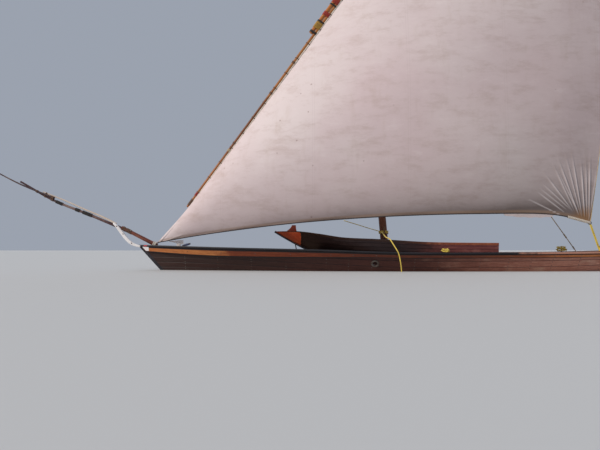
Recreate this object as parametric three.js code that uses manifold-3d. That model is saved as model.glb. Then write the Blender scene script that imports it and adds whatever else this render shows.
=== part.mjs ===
// A small East African sailing dhow with one lateen sail, close-hauled on the starboard tack.
// Millimetres, +Z up, bow towards -X, port side towards -Y.
// The origin lies on the centreline amidships, at the height of the water.

import * as THREE from "three";
import { mergeVertices } from "three/addons/utils/BufferGeometryUtils.js";
import Module from "manifold-3d";

const wasm = await Module();
wasm.setup();

// Driving dimensions of the hull
const GAP = 0.3; // between pieces that touch
const HALF_BEAM = 800;
const CENTRE_HALF = 35; // half the thickness of keel, stem and sternpost
const PLANK = 24;
const RABBET_Z = -330; // where the lowest plank meets the keel
const KEEL_BOTTOM = -450;
const KEEL_TOP = -250;
const KEEL_STEP = 60; // drop of the keel's top under the transom
const WIDEST = 0.53; // share of the length, from the bow, where the hull is widest
const TRANSOM_SHARE = 0.58; // breadth at the transom, as a share of the full beam
const STEM_FOOT_X = -3440; // the stem's rabbet at the waterline
const STEM_RAKE = 0.92; // forward reach for each unit of height
const TRANSOM_FOOT_X = 3567;
const TRANSOM_RAKE = 0.49;
const TRANSOM_BOARD = 32;

// Sheer of the gunwale: x, height
const SHEER = [
  [-3764, 352],
  [-2500, 313],
  [-1200, 281],
  [0, 243],
  [1300, 240],
  [2600, 247],
  [3705, 275],
];

// Fullness of the sections: x, exponent of the breadth over the height (low is full, 1 is a plain V)
const FULLNESS = [
  [-3764, 0.95],
  [-2400, 0.72],
  [-900, 0.48],
  [900, 0.42],
  [2500, 0.47],
  [3705, 0.6],
];

// Depth of the rub rail, a wide plank at the bow: x, depth
const RAIL_DEPTH = [
  [-3764, 78],
  [-2900, 114],
  [-1900, 108],
  [-1234, 94],
  [-372, 64],
  [900, 55],
  [3705, 50],
];

// Rails, decks and openings
const RUB_RAIL_THICK = 26;
const CAP_RAIL = { thick: 26, inside: 58, outside: 32 };
const DECK_THICK = 22;
const DECK_DROP = 8; // deck surface below the sheer
const WAIST = { front: -1160, back: 1440 };
const COCKPIT = { front: 1640, back: 3020 };
const SIDE_DECK = 150;
const COCKPIT_SIDE = 95;
const DECK_ENDS = { front: -3680, back: 3640 };

// Raised wash strakes round the waist
const STRAKE_THICK = 22;
const STRAKE_BACK = 1405;
const STRAKE_HALF = 612;
const STRAKE_FLARE = 22;
const STRAKE_STEM_X = -1175; // foot of the strakes' own stem, on the deck
const STRAKE_OVERHANG = 603;
const STRAKE_CURVE = 0.85; // 1 is a straight stem, less is fuller at its foot
const NOSE_X = -1380; // where the solid painted nose ends and the boards begin

// Top edge of the wash strakes: x, height
const STRAKE_TOP = [
  [-1778, 581],
  [-1400, 570],
  [-1100, 528],
  [-790, 478],
  [-276, 453],
  [425, 412],
  [STRAKE_BACK, 400],
];

// Spars: the mast leans forward and the hinge of the yard is its axis
const MAST = { footZ: -168, headZ: 5000, footR: 62, headR: 43, sides: 16 };
const MAST_RAKE = 0.0862;
const MAST_AT_DECK = new THREE.Vector3(-110, 0, 243);
const HALYARD_POST = { x: -60, y: 430, half: 34, top: 290 };
const TRUCK = { radius: 84, topRadius: 67, thick: 42 };
const YARD_HEEL = new THREE.Vector3(-3103, -10, 949);
const YARD_PEAK = new THREE.Vector3(3028, -226, 9400);
const YARD_SIDES = 12;
const YARD_JOIN = { from: 0.31, to: 0.55 }; // where the two poles lie side by side, share of the yard
const YARD_LOWER = { heelR: 21, endR: 28, drop: 26 };
const YARD_UPPER = { footR: 30, peakR: 15 };
const LASHINGS = { lower: 0.325, upper: 0.535, width: 120, thick: 9 };
const PARREL = { at: 0.4267, height: 66, clear: 0.7 };
const ROPE_R = 8;

// Sail
const SAIL_THICK = 8;
const SAIL_BELLY = 300;
const LEECH_ROACH = 400;
const TACK = new THREE.Vector3(-3545, -24, 412);
const CLEW = new THREE.Vector3(2642, -700, 676);

// Foot of the sail from tack to clew: x, y, z
const FOOT = [
  TACK,
  new THREE.Vector3(-2894, -110, 520),
  new THREE.Vector3(-1546, -320, 684),
  new THREE.Vector3(-200, -520, 775),
  new THREE.Vector3(1116, -670, 807),
  new THREE.Vector3(2147, -715, 790),
  CLEW,
];

// Free rope from the mast cleat over the wash strake and the rail into the water: x, y, z
const LOOSE_ROPE = [
  [-181, -96, 566],
  [-178, -150, 556],
  [-171, -260, 524],
  [-162, -400, 488],
  [-153, -540, 466],
  [-148, -615, 462],
  [-143, -646, 448],
  [-131, -668, 416],
  [-117, -686, 394],
  [-97, -722, 358],
  [-75, -768, 316],
  [-58, -808, 292],
  [-48, -832, 281],
  [-40, -847, 255],
  [-35, -850, 195],
  [-20, -848, 79],
  [-12, -843, -20],
  [-8, -840, -70],
];

// Rudder
const RUDDER_THICK = 44;
const POST_DEPTH = 92;
const HINGE_OFF = 34; // hinge axis behind the sternpost
const NOTCH_R = 58;
const PIN = { r: 8, bore: 9, ringR: 20, half: 12, eyeR: 28, eyeHeight: 24, rest: 0.8 };
const HINGE_HEIGHTS = { upper: 140, lower: -280 }; // along the raked hinge line, from the water

const materials = {
  planks: paint(0x5a2418, 0.62),
  darkPlanks: paint(0x2a1a12, 0.7),
  rail: paint(0xc07a30, 0.42),
  black: paint(0x15100e, 0.55),
  deck: paint(0x8a6a4c, 0.75),
  frame: paint(0x6a4a30, 0.78),
  mast: paint(0x6b3a1e, 0.5),
  yard: paint(0xb0642a, 0.5),
  pole: paint(0x6e2c1e, 0.6),
  greyPole: paint(0xc9a58f, 0.8),
  white: paint(0xf0e8e4, 0.5),
  red: paint(0xb34a2a, 0.5),
  sail: paint(0xd6bec0, 0.9),
  rope: paint(0xe6c040, 0.7),
  paleRope: paint(0xcdb894, 0.85),
  iron: new THREE.MeshStandardMaterial({ color: 0x6e6a66, roughness: 0.5, metalness: 0.8 }),
};

function paint(color, roughness) {
  return new THREE.MeshStandardMaterial({ color, roughness, metalness: 0 });
}

// Smooth curve through a table of x and value
function along(table, x) {
  const last = table.length - 1;
  if (x <= table[0][0]) return table[0][1];
  if (x >= table[last][0]) return table[last][1];
  const i = table.findIndex((row, k) => k < last && x <= table[k + 1][0]);
  const slope = (a, b) => (table[b][1] - table[a][1]) / (table[b][0] - table[a][0]);
  const m0 = i > 0 ? slope(i - 1, i + 1) : slope(0, 1);
  const m1 = i + 1 < last ? slope(i, i + 2) : slope(last - 1, last);
  const h = table[i + 1][0] - table[i][0];
  const t = (x - table[i][0]) / h;
  const t2 = t * t;
  const t3 = t2 * t;
  return (
    table[i][1] * (2 * t3 - 3 * t2 + 1) +
    table[i + 1][1] * (3 * t2 - 2 * t3) +
    m0 * h * (t3 - 2 * t2 + t) +
    m1 * h * (t3 - t2)
  );
}

function span(from, to, count) {
  return Array.from({ length: count + 1 }, (unused, i) => from + ((to - from) * i) / count);
}

// Solid geometry from triangles given as corner points, turned right side out
function fromTriangles(triangles) {
  const flat = triangles.flatMap((tri) => tri.flatMap((p) => [p.x, p.y, p.z]));
  let volume = 0;
  for (const [a, b, c] of triangles) volume += a.dot(new THREE.Vector3().crossVectors(b, c));
  const ordered =
    volume > 0 ? flat : triangles.flatMap(([a, b, c]) => [a, c, b].flatMap((p) => [p.x, p.y, p.z]));
  const geometry = new THREE.BufferGeometry();
  geometry.setAttribute("position", new THREE.Float32BufferAttribute(ordered, 3));
  return mergeVertices(geometry, 1e-3);
}

// Closed solid between two grids of points with the same rows and columns
function slab(front, back) {
  const triangles = [];
  const quad = (a, b, c, d) => {
    for (const tri of [
      [a, b, c],
      [a, c, d],
    ]) {
      const cross = new THREE.Vector3()
        .subVectors(tri[1], tri[0])
        .cross(new THREE.Vector3().subVectors(tri[2], tri[0]));
      if (cross.length() > 1e-4) triangles.push(tri);
    }
  };
  const n = front.length - 1;
  const m = front[0].length - 1;
  for (let i = 0; i < n; i++) {
    for (let j = 0; j < m; j++) {
      quad(front[i][j], front[i + 1][j], front[i + 1][j + 1], front[i][j + 1]);
      quad(back[i][j], back[i][j + 1], back[i + 1][j + 1], back[i + 1][j]);
    }
    quad(front[i][0], back[i][0], back[i + 1][0], front[i + 1][0]);
    quad(front[i][m], front[i + 1][m], back[i + 1][m], back[i][m]);
  }
  for (let j = 0; j < m; j++) {
    quad(front[0][j], front[0][j + 1], back[0][j + 1], back[0][j]);
    quad(front[n][j], back[n][j], back[n][j + 1], front[n][j + 1]);
  }
  return fromTriangles(triangles);
}

// Plate with an outline in the x-z plane and its thickness across the boat
function plate(outline, halfThick, middleY = 0) {
  const shape = new THREE.Shape(outline.map(([x, z]) => new THREE.Vector2(x, z)));
  const geometry = new THREE.ExtrudeGeometry(shape, { depth: 2 * halfThick, bevelEnabled: false });
  geometry.translate(0, 0, -halfThick);
  geometry.rotateX(Math.PI / 2);
  geometry.translate(0, middleY, 0);
  return bare(geometry);
}

function bare(geometry) {
  geometry.deleteAttribute("normal");
  geometry.deleteAttribute("uv");
  return mergeVertices(geometry, 1e-3);
}

// Round bar between two points
function spar(from, to, fromR, toR, sides = 12) {
  const axis = new THREE.Vector3().subVectors(to, from);
  const geometry = new THREE.CylinderGeometry(toR, fromR, axis.length(), sides);
  const turn = new THREE.Quaternion().setFromUnitVectors(
    new THREE.Vector3(0, 1, 0),
    axis.clone().normalize(),
  );
  geometry.applyQuaternion(turn);
  const middle = from.clone().add(to).multiplyScalar(0.5);
  geometry.translate(middle.x, middle.y, middle.z);
  return bare(geometry);
}

// Closed solid through rings of points with the same count, such as a bent and tapered pole
function ringLoft(rings) {
  const triangles = [];
  const count = rings[0].length;
  for (let i = 0; i < rings.length - 1; i++) {
    for (let k = 0; k < count; k++) {
      const next = (k + 1) % count;
      triangles.push([rings[i][k], rings[i][next], rings[i + 1][next]]);
      triangles.push([rings[i][k], rings[i + 1][next], rings[i + 1][k]]);
    }
  }
  const final = rings[rings.length - 1];
  for (let k = 1; k < count - 1; k++) {
    triangles.push([rings[0][0], rings[0][k + 1], rings[0][k]]);
    triangles.push([final[0], final[k], final[k + 1]]);
  }
  return fromTriangles(triangles);
}

// Pole through points, with a radius that changes evenly from end to end
function bentPole(points, fromR, toR, steps, sides = 12) {
  const path = new THREE.CatmullRomCurve3(points.map((p) => new THREE.Vector3(...p)), false, "centripetal");
  const across = new THREE.Vector3(0, 1, 0);
  return ringLoft(
    span(0, 1, steps).map((t) => {
      const up = new THREE.Vector3().crossVectors(across, path.getTangentAt(t)).normalize();
      return span(0, 2 * Math.PI, sides)
        .slice(0, sides)
        .map((a) =>
          path
            .getPointAt(t)
            .addScaledVector(up, (fromR + (toR - fromR) * t) * Math.cos(a))
            .addScaledVector(across, (fromR + (toR - fromR) * t) * Math.sin(a)),
        );
    }),
  );
}

function block(low, high) {
  const size = high.map((v, i) => v - low[i]);
  const geometry = new THREE.BoxGeometry(...size);
  geometry.translate(...low.map((v, i) => v + size[i] / 2));
  return bare(geometry);
}

// Tube along a smooth path
function tube(points, radius, steps, sides = 8) {
  const section = new THREE.Shape(
    span(0, 2 * Math.PI, sides)
      .slice(0, sides)
      .map((a) => new THREE.Vector2(radius * Math.cos(a), radius * Math.sin(a))),
  );
  const path = new THREE.CatmullRomCurve3(points.map((p) => new THREE.Vector3(...p)), false, "centripetal");
  return bare(new THREE.ExtrudeGeometry(section, { steps, extrudePath: path, bevelEnabled: false }));
}

function solid(geometry) {
  return new wasm.Manifold(
    new wasm.Mesh({
      numProp: 3,
      vertProperties: Float32Array.from(geometry.attributes.position.array),
      triVerts: Uint32Array.from(geometry.index.array),
    }),
  );
}

function fromSolid(manifold) {
  const mesh = manifold.getMesh();
  const geometry = new THREE.BufferGeometry();
  geometry.setAttribute("position", new THREE.Float32BufferAttribute(mesh.vertProperties, 3));
  geometry.setIndex(Array.from(mesh.triVerts));
  return geometry;
}

function join(geometries) {
  return fromSolid(geometries.map(solid).reduce((whole, piece) => whole.add(piece)));
}

function within(geometry, limit) {
  return fromSolid(solid(geometry).intersect(solid(limit)));
}

function cut(geometry, tools) {
  return fromSolid(tools.map(solid).reduce((rest, tool) => rest.subtract(tool), solid(geometry)));
}

// The same solid on the other side of the centreline
function mirrored(geometry) {
  const copy = geometry.clone();
  copy.scale(1, -1, 1);
  const index = copy.index.array;
  for (let i = 0; i < index.length; i += 3) [index[i], index[i + 1]] = [index[i + 1], index[i]];
  return copy;
}

// Hull surface: s runs from stem to transom, u from the rabbet up to the sheer
const sheerX = (s) => SHEER[0][0] + (SHEER[SHEER.length - 1][0] - SHEER[0][0]) * s;
const shareAt = (x) => (x - SHEER[0][0]) / (SHEER[SHEER.length - 1][0] - SHEER[0][0]);
const stemX = (z) => STEM_FOOT_X - STEM_RAKE * z;
const transomX = (z) => TRANSOM_FOOT_X + TRANSOM_RAKE * z;

function halfBreadth(s) {
  const fullest = HALF_BEAM - CENTRE_HALF;
  if (s < WIDEST) return CENTRE_HALF + fullest * (1 - ((WIDEST - s) / WIDEST) ** 2.1);
  return CENTRE_HALF + fullest * (1 - (1 - TRANSOM_SHARE) * ((s - WIDEST) / (1 - WIDEST)) ** 2.2);
}

function hullPoint(s, u) {
  const top = along(SHEER, sheerX(s));
  const z = RABBET_Z + (top - RABBET_Z) * u;
  const breadth = halfBreadth(s) - CENTRE_HALF;
  const y = CENTRE_HALF + breadth * Math.max(u, 0) ** along(FULLNESS, sheerX(s));
  return new THREE.Vector3(stemX(z) + s * (transomX(z) - stemX(z)), y, z);
}

// Point at a distance outside (or, negative, inside) the hull's outer face, starboard side.
// A level offset keeps the point's height, as along the sheer.
function hullOffset(s, u, distance, level = false) {
  const step = 1e-3;
  const s0 = Math.min(Math.max(s, step), 1 - step);
  const u0 = Math.min(Math.max(u, 0.02), 1 - step);
  const ds = hullPoint(s0 + step, u0).sub(hullPoint(s0 - step, u0));
  const du = hullPoint(s0, u0 + step).sub(hullPoint(s0, u0 - step));
  const normal = ds.cross(du);
  if (normal.y < 0) normal.negate();
  if (level || u === 1) normal.z = 0;
  normal.normalize();
  const point = hullPoint(s, u).addScaledVector(normal, distance);
  point.y = Math.max(point.y, CENTRE_HALF);
  return point;
}

// Breadth of the hull at a place along the boat and a height, at a distance inside the planks' outer face
function breadthAt(x, z, inside) {
  const s = (x - stemX(z)) / (transomX(z) - stemX(z));
  const top = along(SHEER, sheerX(s));
  const u = Math.min((z - RABBET_Z) / (top - RABBET_Z), 1);
  return hullOffset(s, u, -inside).y;
}

const STATIONS = span(0, 1, 22);
const BILGE = 0.26; // where the bottom planks meet the side planks, share of the side's height
const BILGE_SEAM = 0.0006;
const BOTTOM_LEVELS = [0, 0.015, 0.06, 0.14, BILGE];
const BUTT = 8; // station where the side planks forward butt against those amidships
const BUTT_SEAM = 0.00005;
const SIDE_LEVELS = [BILGE + BILGE_SEAM, 0.42, 0.6, 0.8, 1];
const PLANK_LEVELS = [...BOTTOM_LEVELS, ...SIDE_LEVELS.slice(1)];
const deckZ = (x) => along(SHEER, x) - DECK_DROP;

// Piece that follows the hull at some stations, between two heights and two depths
function hullBand(stations, levels, outer, inner, level = false) {
  const rows = (distance) =>
    stations.map((s) => levels(s).map((u) => hullOffset(s, u, distance, level)));
  return slab(rows(outer), rows(inner));
}

// Everything within the hull's outer face moved out (or, negative, in) by a distance
function hullBody(distance) {
  const side = STATIONS.map((s) => PLANK_LEVELS.map((u) => hullOffset(s, u, distance)));
  const other = side.map((row) => row.map((p) => new THREE.Vector3(p.x, -p.y, p.z)));
  return slab(side, other);
}

const outerBody = hullBody(GAP);
const innerBody = hullBody(-PLANK - GAP);

const group = new THREE.Group();
group.name = "dhow";

function addTo(parent, name, geometry, material) {
  const mesh = new THREE.Mesh(geometry, materials[material]);
  mesh.name = name;
  parent.add(mesh);
  return mesh;
}

function addPair(parent, name, starboard, material) {
  addTo(parent, `${name}_starboard`, starboard, material);
  addTo(parent, `${name}_port`, mirrored(starboard), material);
}

// Backbone: keel, raked stem with its head above the rail, and sternpost
function addBackbone(parent) {
  const half = CENTRE_HALF - GAP;
  const faceX = (z) => stemX(z) - 58;
  const backX = (z) => stemX(z) + 125;
  const postBack = (z) => transomX(z) + TRANSOM_BOARD + GAP + POST_DEPTH;
  const keelFront = backX(KEEL_BOTTOM + 20) - 20;
  const stemHead = 378;
  const keel = [
    [keelFront, KEEL_BOTTOM],
    [postBack(KEEL_BOTTOM), KEEL_BOTTOM],
    [postBack(KEEL_TOP - KEEL_STEP), KEEL_TOP - KEEL_STEP],
    [transomX(KEEL_TOP) - 60, KEEL_TOP - KEEL_STEP],
    [transomX(KEEL_TOP) - 120, KEEL_TOP],
    [backX(KEEL_TOP) + GAP, KEEL_TOP],
  ];
  const stem = [
    [faceX(KEEL_BOTTOM + 40) + 22, KEEL_BOTTOM + 22],
    [keelFront - GAP, KEEL_BOTTOM],
    [backX(KEEL_TOP), KEEL_TOP],
    [backX(225), 225],
    [backX(225) - 60, 246],
    [stemX(stemHead) + 52, stemHead - 26],
    [stemX(stemHead) + 34, stemHead],
    [faceX(stemHead) + 12, stemHead],
    [faceX(stemHead - 20), stemHead - 20],
    [faceX(KEEL_BOTTOM + 70), KEEL_BOTTOM + 70],
  ];
  const front = (z) => transomX(z) + TRANSOM_BOARD + GAP;
  const post = [
    [front(KEEL_TOP - KEEL_STEP + GAP), KEEL_TOP - KEEL_STEP + GAP],
    [postBack(KEEL_TOP - KEEL_STEP + GAP), KEEL_TOP - KEEL_STEP + GAP],
    [postBack(300), 300],
    [front(300), 300],
  ];
  addTo(parent, "keel", plate(keel, half), "planks");
  addTo(parent, "stem", plate(stem, half), "black");
  addTo(parent, "sternpost", plate(post, half), "planks");
}

// Bottom, bow and side planking, with the drain hole that each side has amidships, and the ring round it
function addPlanking(parent) {
  const scupper = { x: -357, z: 112, holeR: 34, ringR: 58, ringThick: 12 };
  const bottom = hullBand(STATIONS, () => BOTTOM_LEVELS, 0, -PLANK);
  const forward = [...STATIONS.slice(0, BUTT), STATIONS[BUTT] - BUTT_SEAM];
  const side = hullBand(STATIONS.slice(BUTT), () => SIDE_LEVELS, 0, -PLANK);
  const reach = (dx, dz) => breadthAt(scupper.x + dx, scupper.z + dz, 0);
  const middle = new THREE.Vector3(scupper.x, reach(0, 0), scupper.z);
  const out = new THREE.Vector3(reach(-20, 0) - reach(20, 0), 40, reach(0, -20) - reach(0, 20));
  out.normalize();
  const bar = (from, to, r) =>
    spar(middle.clone().addScaledVector(out, from), middle.clone().addScaledVector(out, to), r, r, 20);
  const hole = bar(-90, 90, scupper.holeR);
  addPair(parent, "bottom_planking", bottom, "planks");
  addPair(parent, "bow_planking", hullBand(forward, () => SIDE_LEVELS, 0, -PLANK), "planks");
  addPair(parent, "side_planking", cut(side, [hole]), "planks");
  const ring = cut(bar(-15, scupper.ringThick, scupper.ringR), [hole, outerBody]);
  addPair(parent, "scupper_ring", ring, "iron");
}

function addTransom(parent) {
  const side = PLANK_LEVELS.map((u) => hullPoint(1, u));
  const face = (offset) =>
    side.map((p) => [-1, 1].map((way) => new THREE.Vector3(p.x + offset, way * p.y, p.z)));
  const board = slab(face(GAP), face(TRANSOM_BOARD));
  const keelSlot = block([3300, -CENTRE_HALF, -400], [3600, CENTRE_HALF, KEEL_TOP - KEEL_STEP + GAP]);
  addTo(parent, "transom", cut(board, [keelSlot]), "planks");
}

// Belaying pin through the cap rail on each side, for the sheet
const PIN_PLACE = { x: 2820, inset: 12, r: 13, headR: 11, above: 86 };
const pinY = breadthAt(PIN_PLACE.x, along(SHEER, PIN_PLACE.x) - 1, 0) - PIN_PLACE.inset;
const pinZ = along(SHEER, PIN_PLACE.x) + CAP_RAIL.thick + 1;

// Rub rail under the sheer, and the black cap rail on top of it with its belaying pin
function addRails(parent) {
  const railLevels = (s) => {
    const top = along(SHEER, sheerX(s));
    const side = top - RABBET_Z;
    return [1 - along(RAIL_DEPTH, sheerX(s)) / side, 1 - 2 / side];
  };
  const rail = hullBand(STATIONS, railLevels, RUB_RAIL_THICK, -6, true);
  addPair(parent, "rub_rail", cut(rail, [outerBody]), "rail");
  const rows = (lift) =>
    STATIONS.map((s) =>
      [-CAP_RAIL.inside, CAP_RAIL.outside].map((distance) => {
        const p = hullOffset(s, 1, distance);
        p.z += lift;
        return p;
      }),
    );
  const peg = spar(
    new THREE.Vector3(PIN_PLACE.x, pinY, pinZ - CAP_RAIL.thick / 2),
    new THREE.Vector3(PIN_PLACE.x, pinY, pinZ + PIN_PLACE.above),
    PIN_PLACE.r,
    PIN_PLACE.headR,
    10,
  );
  addPair(parent, "cap_rail", join([slab(rows(GAP), rows(CAP_RAIL.thick)), peg]), "black");
}

// Decks: strips that reach the planking, round the open waist and the cockpit
function deckStrip(fromX, toX, count, innerY) {
  const rows = (drop) =>
    span(fromX, toX, count).map((x) =>
      [innerY ? innerY(x) : -HALF_BEAM, HALF_BEAM].map((y) => new THREE.Vector3(x, y, deckZ(x) - drop)),
    );
  return within(slab(rows(0), rows(DECK_THICK)), innerBody);
}

function addDecks(parent) {
  const inner = (width) => (x) => breadthAt(x, deckZ(x), PLANK) - width;
  const whole = [
    ["foredeck", DECK_ENDS.front, WAIST.front, 14],
    ["bridge_deck", WAIST.back, COCKPIT.front, 2],
    ["stern_deck", COCKPIT.back, DECK_ENDS.back, 4],
  ];
  for (const [name, front, back, count] of whole) {
    addTo(parent, name, deckStrip(front, back, count), "deck");
  }
  const waist = deckStrip(WAIST.front + GAP, WAIST.back - GAP, 12, inner(SIDE_DECK));
  const aft = deckStrip(COCKPIT.front + GAP, COCKPIT.back - GAP, 8, inner(COCKPIT_SIDE));
  addPair(parent, "side_deck", waist, "deck");
  addPair(parent, "cockpit_deck", aft, "deck");
}

// Frames: bent ribs inside the side planking, joined by the stringer that carries the thwarts.
// They stand on the arms of the floor timbers, above the bottom boards.
const FLOOR_Z = -214;
const RIB_FOOT_Z = -158;
const RIB = { width: 46, depth: 40, deckGap: 6 };
// Low and high are shares of the side's height
const STRINGER = { low: 0.52, high: 0.6, depth: 34, front: -1330, back: 3110 };
const RIB_PLACES = [-1030, -720, -400, 190, 520, 1100, 1500, 1820, 2130, 2530, 2850];

function addFrames(parent) {
  const boxes = RIB_PLACES.map((x) => {
    const top = deckZ(x) - DECK_THICK - RIB.deckGap;
    return block([x - RIB.width / 2, CENTRE_HALF + 8, RIB_FOOT_Z], [x + RIB.width / 2, HALF_BEAM, top]);
  });
  const levels = () => [STRINGER.low, STRINGER.high];
  const inside = PLANK - 4;
  const stations = span(shareAt(STRINGER.front), shareAt(STRINGER.back), 12);
  const stringer = hullBand(stations, levels, -inside, -inside - RIB.depth - STRINGER.depth, true);
  const ribs = cut(join(boxes), [hullBody(-PLANK - GAP - RIB.depth)]);
  addPair(parent, "frames", within(join([ribs, stringer]), innerBody), "frame");
}

// Keelson with its floor timbers and mast step, bottom boards on it, and the thwarts on the stringers
function addInside(parent) {
  const floor = { low: FLOOR_Z, high: -196, half: 250, front: -2350, back: 2750 };
  const step = { front: -215, back: 65, half: 70 };
  const keelsonBack = 2890;
  const overRibs = hullBody(-PLANK - 2 * GAP - RIB.depth);
  const timbers = RIB_PLACES.map((x) =>
    block([x - RIB.width / 2, -HALF_BEAM, -400], [x + RIB.width / 2, HALF_BEAM, RIB_FOOT_Z - GAP]),
  );
  const betweenArms = within(
    block([floor.front, -HALF_BEAM, floor.low - GAP], [keelsonBack + 100, HALF_BEAM, 0]),
    hullBody(-PLANK - GAP - RIB.depth),
  );
  const overKeel = block([floor.front, -CENTRE_HALF, -400], [keelsonBack, CENTRE_HALF, KEEL_TOP + GAP]);
  const keelson = join([
    cut(within(join(timbers), innerBody), [overKeel, betweenArms]),
    block([floor.front, -40, KEEL_TOP + GAP], [keelsonBack, 40, floor.low - GAP]),
    block([step.front, -step.half, floor.low - 9], [step.back, step.half, MAST.footZ - GAP]),
  ]);
  addTo(parent, "keelson", keelson, "frame");
  const stepSlot = block(
    [step.front - GAP, -step.half - GAP, floor.low - 19],
    [step.back + GAP, step.half + GAP, floor.high + 9],
  );
  const boards = block([floor.front, -floor.half, floor.low], [floor.back, floor.half, floor.high]);
  addTo(parent, "bottom_boards", cut(within(boards, overRibs), [stepSlot]), "deck");
  const mastHole = mastPiece(-100, 400, 2);
  const post = HALYARD_POST;
  const corner = (way, z) => [post.x + way * post.half, post.y + way * post.half, z];
  const postBlock = block(corner(-1, 30), corner(1, post.top));
  // name, middle, width along the boat, thickness, and what is cut out of it or joined to it
  for (const [name, x, width, thick, change] of [
    ["mast_thwart", -110, 230, 48, (board) => cut(join([board, postBlock]), [mastHole])],
    ["middle_thwart", 810, 210, 30, (board) => board],
    ["helm_thwart", 2330, 230, 30, (board) => board],
  ]) {
    const ends = [x - width / 2, x + width / 2];
    const low = Math.max(...ends.map((end) => hullOffset(shareAt(end), STRINGER.high, 0).z)) + 8;
    const seat = block([ends[0], -HALF_BEAM, low], [ends[1], HALF_BEAM, low + thick]);
    addTo(parent, name, change(within(seat, innerBody)), "deck");
  }
}

// Wash strakes: v runs from the deck up to the top edge, q from their stem to their back end
const strakeStemX = (v) => STRAKE_STEM_X - STRAKE_OVERHANG * v ** STRAKE_CURVE;

function strakePoint(q, v, inset) {
  const x = strakeStemX(v) + q * (STRAKE_BACK - strakeStemX(v));
  const entry = 0.4;
  const aft = (q - entry) / (1 - entry);
  const fill = q < entry ? (1 - (1 - q / entry) ** 2) ** 0.85 : 1 - 0.06 * aft ** 2;
  const y = Math.max((STRAKE_HALF + STRAKE_FLARE * v) * fill - inset, 0);
  const footZ = Math.min(deckZ(x), deckZ(STRAKE_STEM_X)) + GAP;
  const topZ = along(STRAKE_TOP, x);
  return new THREE.Vector3(x, y, footZ + (topZ - footZ) * v);
}

// Body inside the strakes' outer face, less an inset, both sides together
function strakeBody(inset) {
  const rows = (way) =>
    STRAKE_STEPS.map((q) =>
      STRAKE_LEVELS.map((v) => {
        const p = strakePoint(q, v, inset);
        return new THREE.Vector3(p.x, way * (p.y + GAP), p.z);
      }),
    );
  return slab(rows(1), rows(-1));
}

const STRAKE_STEPS = span(0, 1, 12).map((t) => t ** 1.7);
const STRAKE_LEVELS = span(0, 1, 4);

// Post on the nose of the wash strakes, flared forward at its foot
function nosePost() {
  const foot = { x: -1490, z: along(STRAKE_TOP, -1490) };
  const outline = [
    [foot.x - 105, foot.z - 14],
    [foot.x + 48, foot.z - 14],
    [foot.x + 36, foot.z + 26],
    [foot.x + 30, foot.z + 60],
    [foot.x + 28, foot.z + 100],
    [foot.x - 30, foot.z + 100],
    [foot.x - 36, foot.z + 66],
    [foot.x - 56, foot.z + 36],
    [foot.x - 84, foot.z + 14],
  ];
  return plate(outline, 20);
}

function addStrakes(parent) {
  const boards = cut(strakeBody(0), [strakeBody(STRAKE_THICK)]);
  const reach = 900;
  const starboard = block([NOSE_X, 0, -100], [STRAKE_BACK + 100, reach, reach]);
  addPair(parent, "wash_strake", within(boards, starboard), "darkPlanks");
  const nose = within(strakeBody(0), block([-2000, -reach, -100], [NOSE_X - GAP, reach, reach]));
  addTo(parent, "strake_nose", join([nose, nosePost()]), "red");
}

function mastPoint(z) {
  return new THREE.Vector3(MAST_AT_DECK.x - MAST_RAKE * (z - MAST_AT_DECK.z), 0, z);
}

function mastRadius(z) {
  return MAST.footR + ((MAST.headR - MAST.footR) * (z - MAST.footZ)) / (MAST.headZ - MAST.footZ);
}

// Stretch of the mast between two heights, grown by a clearance
function mastPiece(low, high, extra = 0) {
  const radius = (z) => mastRadius(z) + extra;
  return spar(mastPoint(low), mastPoint(high), radius(low), radius(high), MAST.sides);
}

const mastAxis = new THREE.Vector3(-MAST_RAKE, 0, 1).normalize();

// Turns and moves a solid made round the z axis so that it stands on the mast's axis
function onMast(geometry, z) {
  geometry.applyQuaternion(
    new THREE.Quaternion().setFromUnitVectors(new THREE.Vector3(0, 0, 1), mastAxis),
  );
  const at = mastPoint(z);
  geometry.translate(at.x, at.y, at.z);
  return geometry;
}

// Ring or disc round the z axis: the outline lists radius and height, and closes on itself
function turned(outline, sides) {
  const points = [...outline, outline[0]].map(([r, z]) => new THREE.Vector2(r, z));
  const geometry = new THREE.LatheGeometry(points, sides);
  geometry.rotateX(Math.PI / 2);
  return bare(geometry);
}

function addMast(parent) {
  const heelLift = 5.6; // the heel is square to the raked mast, so its front edge is lower
  addTo(parent, "mast", mastPiece(MAST.footZ + heelLift, MAST.headZ), "mast");
  const truck = new THREE.CylinderGeometry(TRUCK.topRadius, TRUCK.radius, TRUCK.thick, 20);
  truck.rotateX(Math.PI / 2);
  truck.translate(0, 0, TRUCK.thick / 2 + GAP);
  addTo(parent, "mast_truck", onMast(bare(truck), MAST.headZ), "mast");
}

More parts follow.
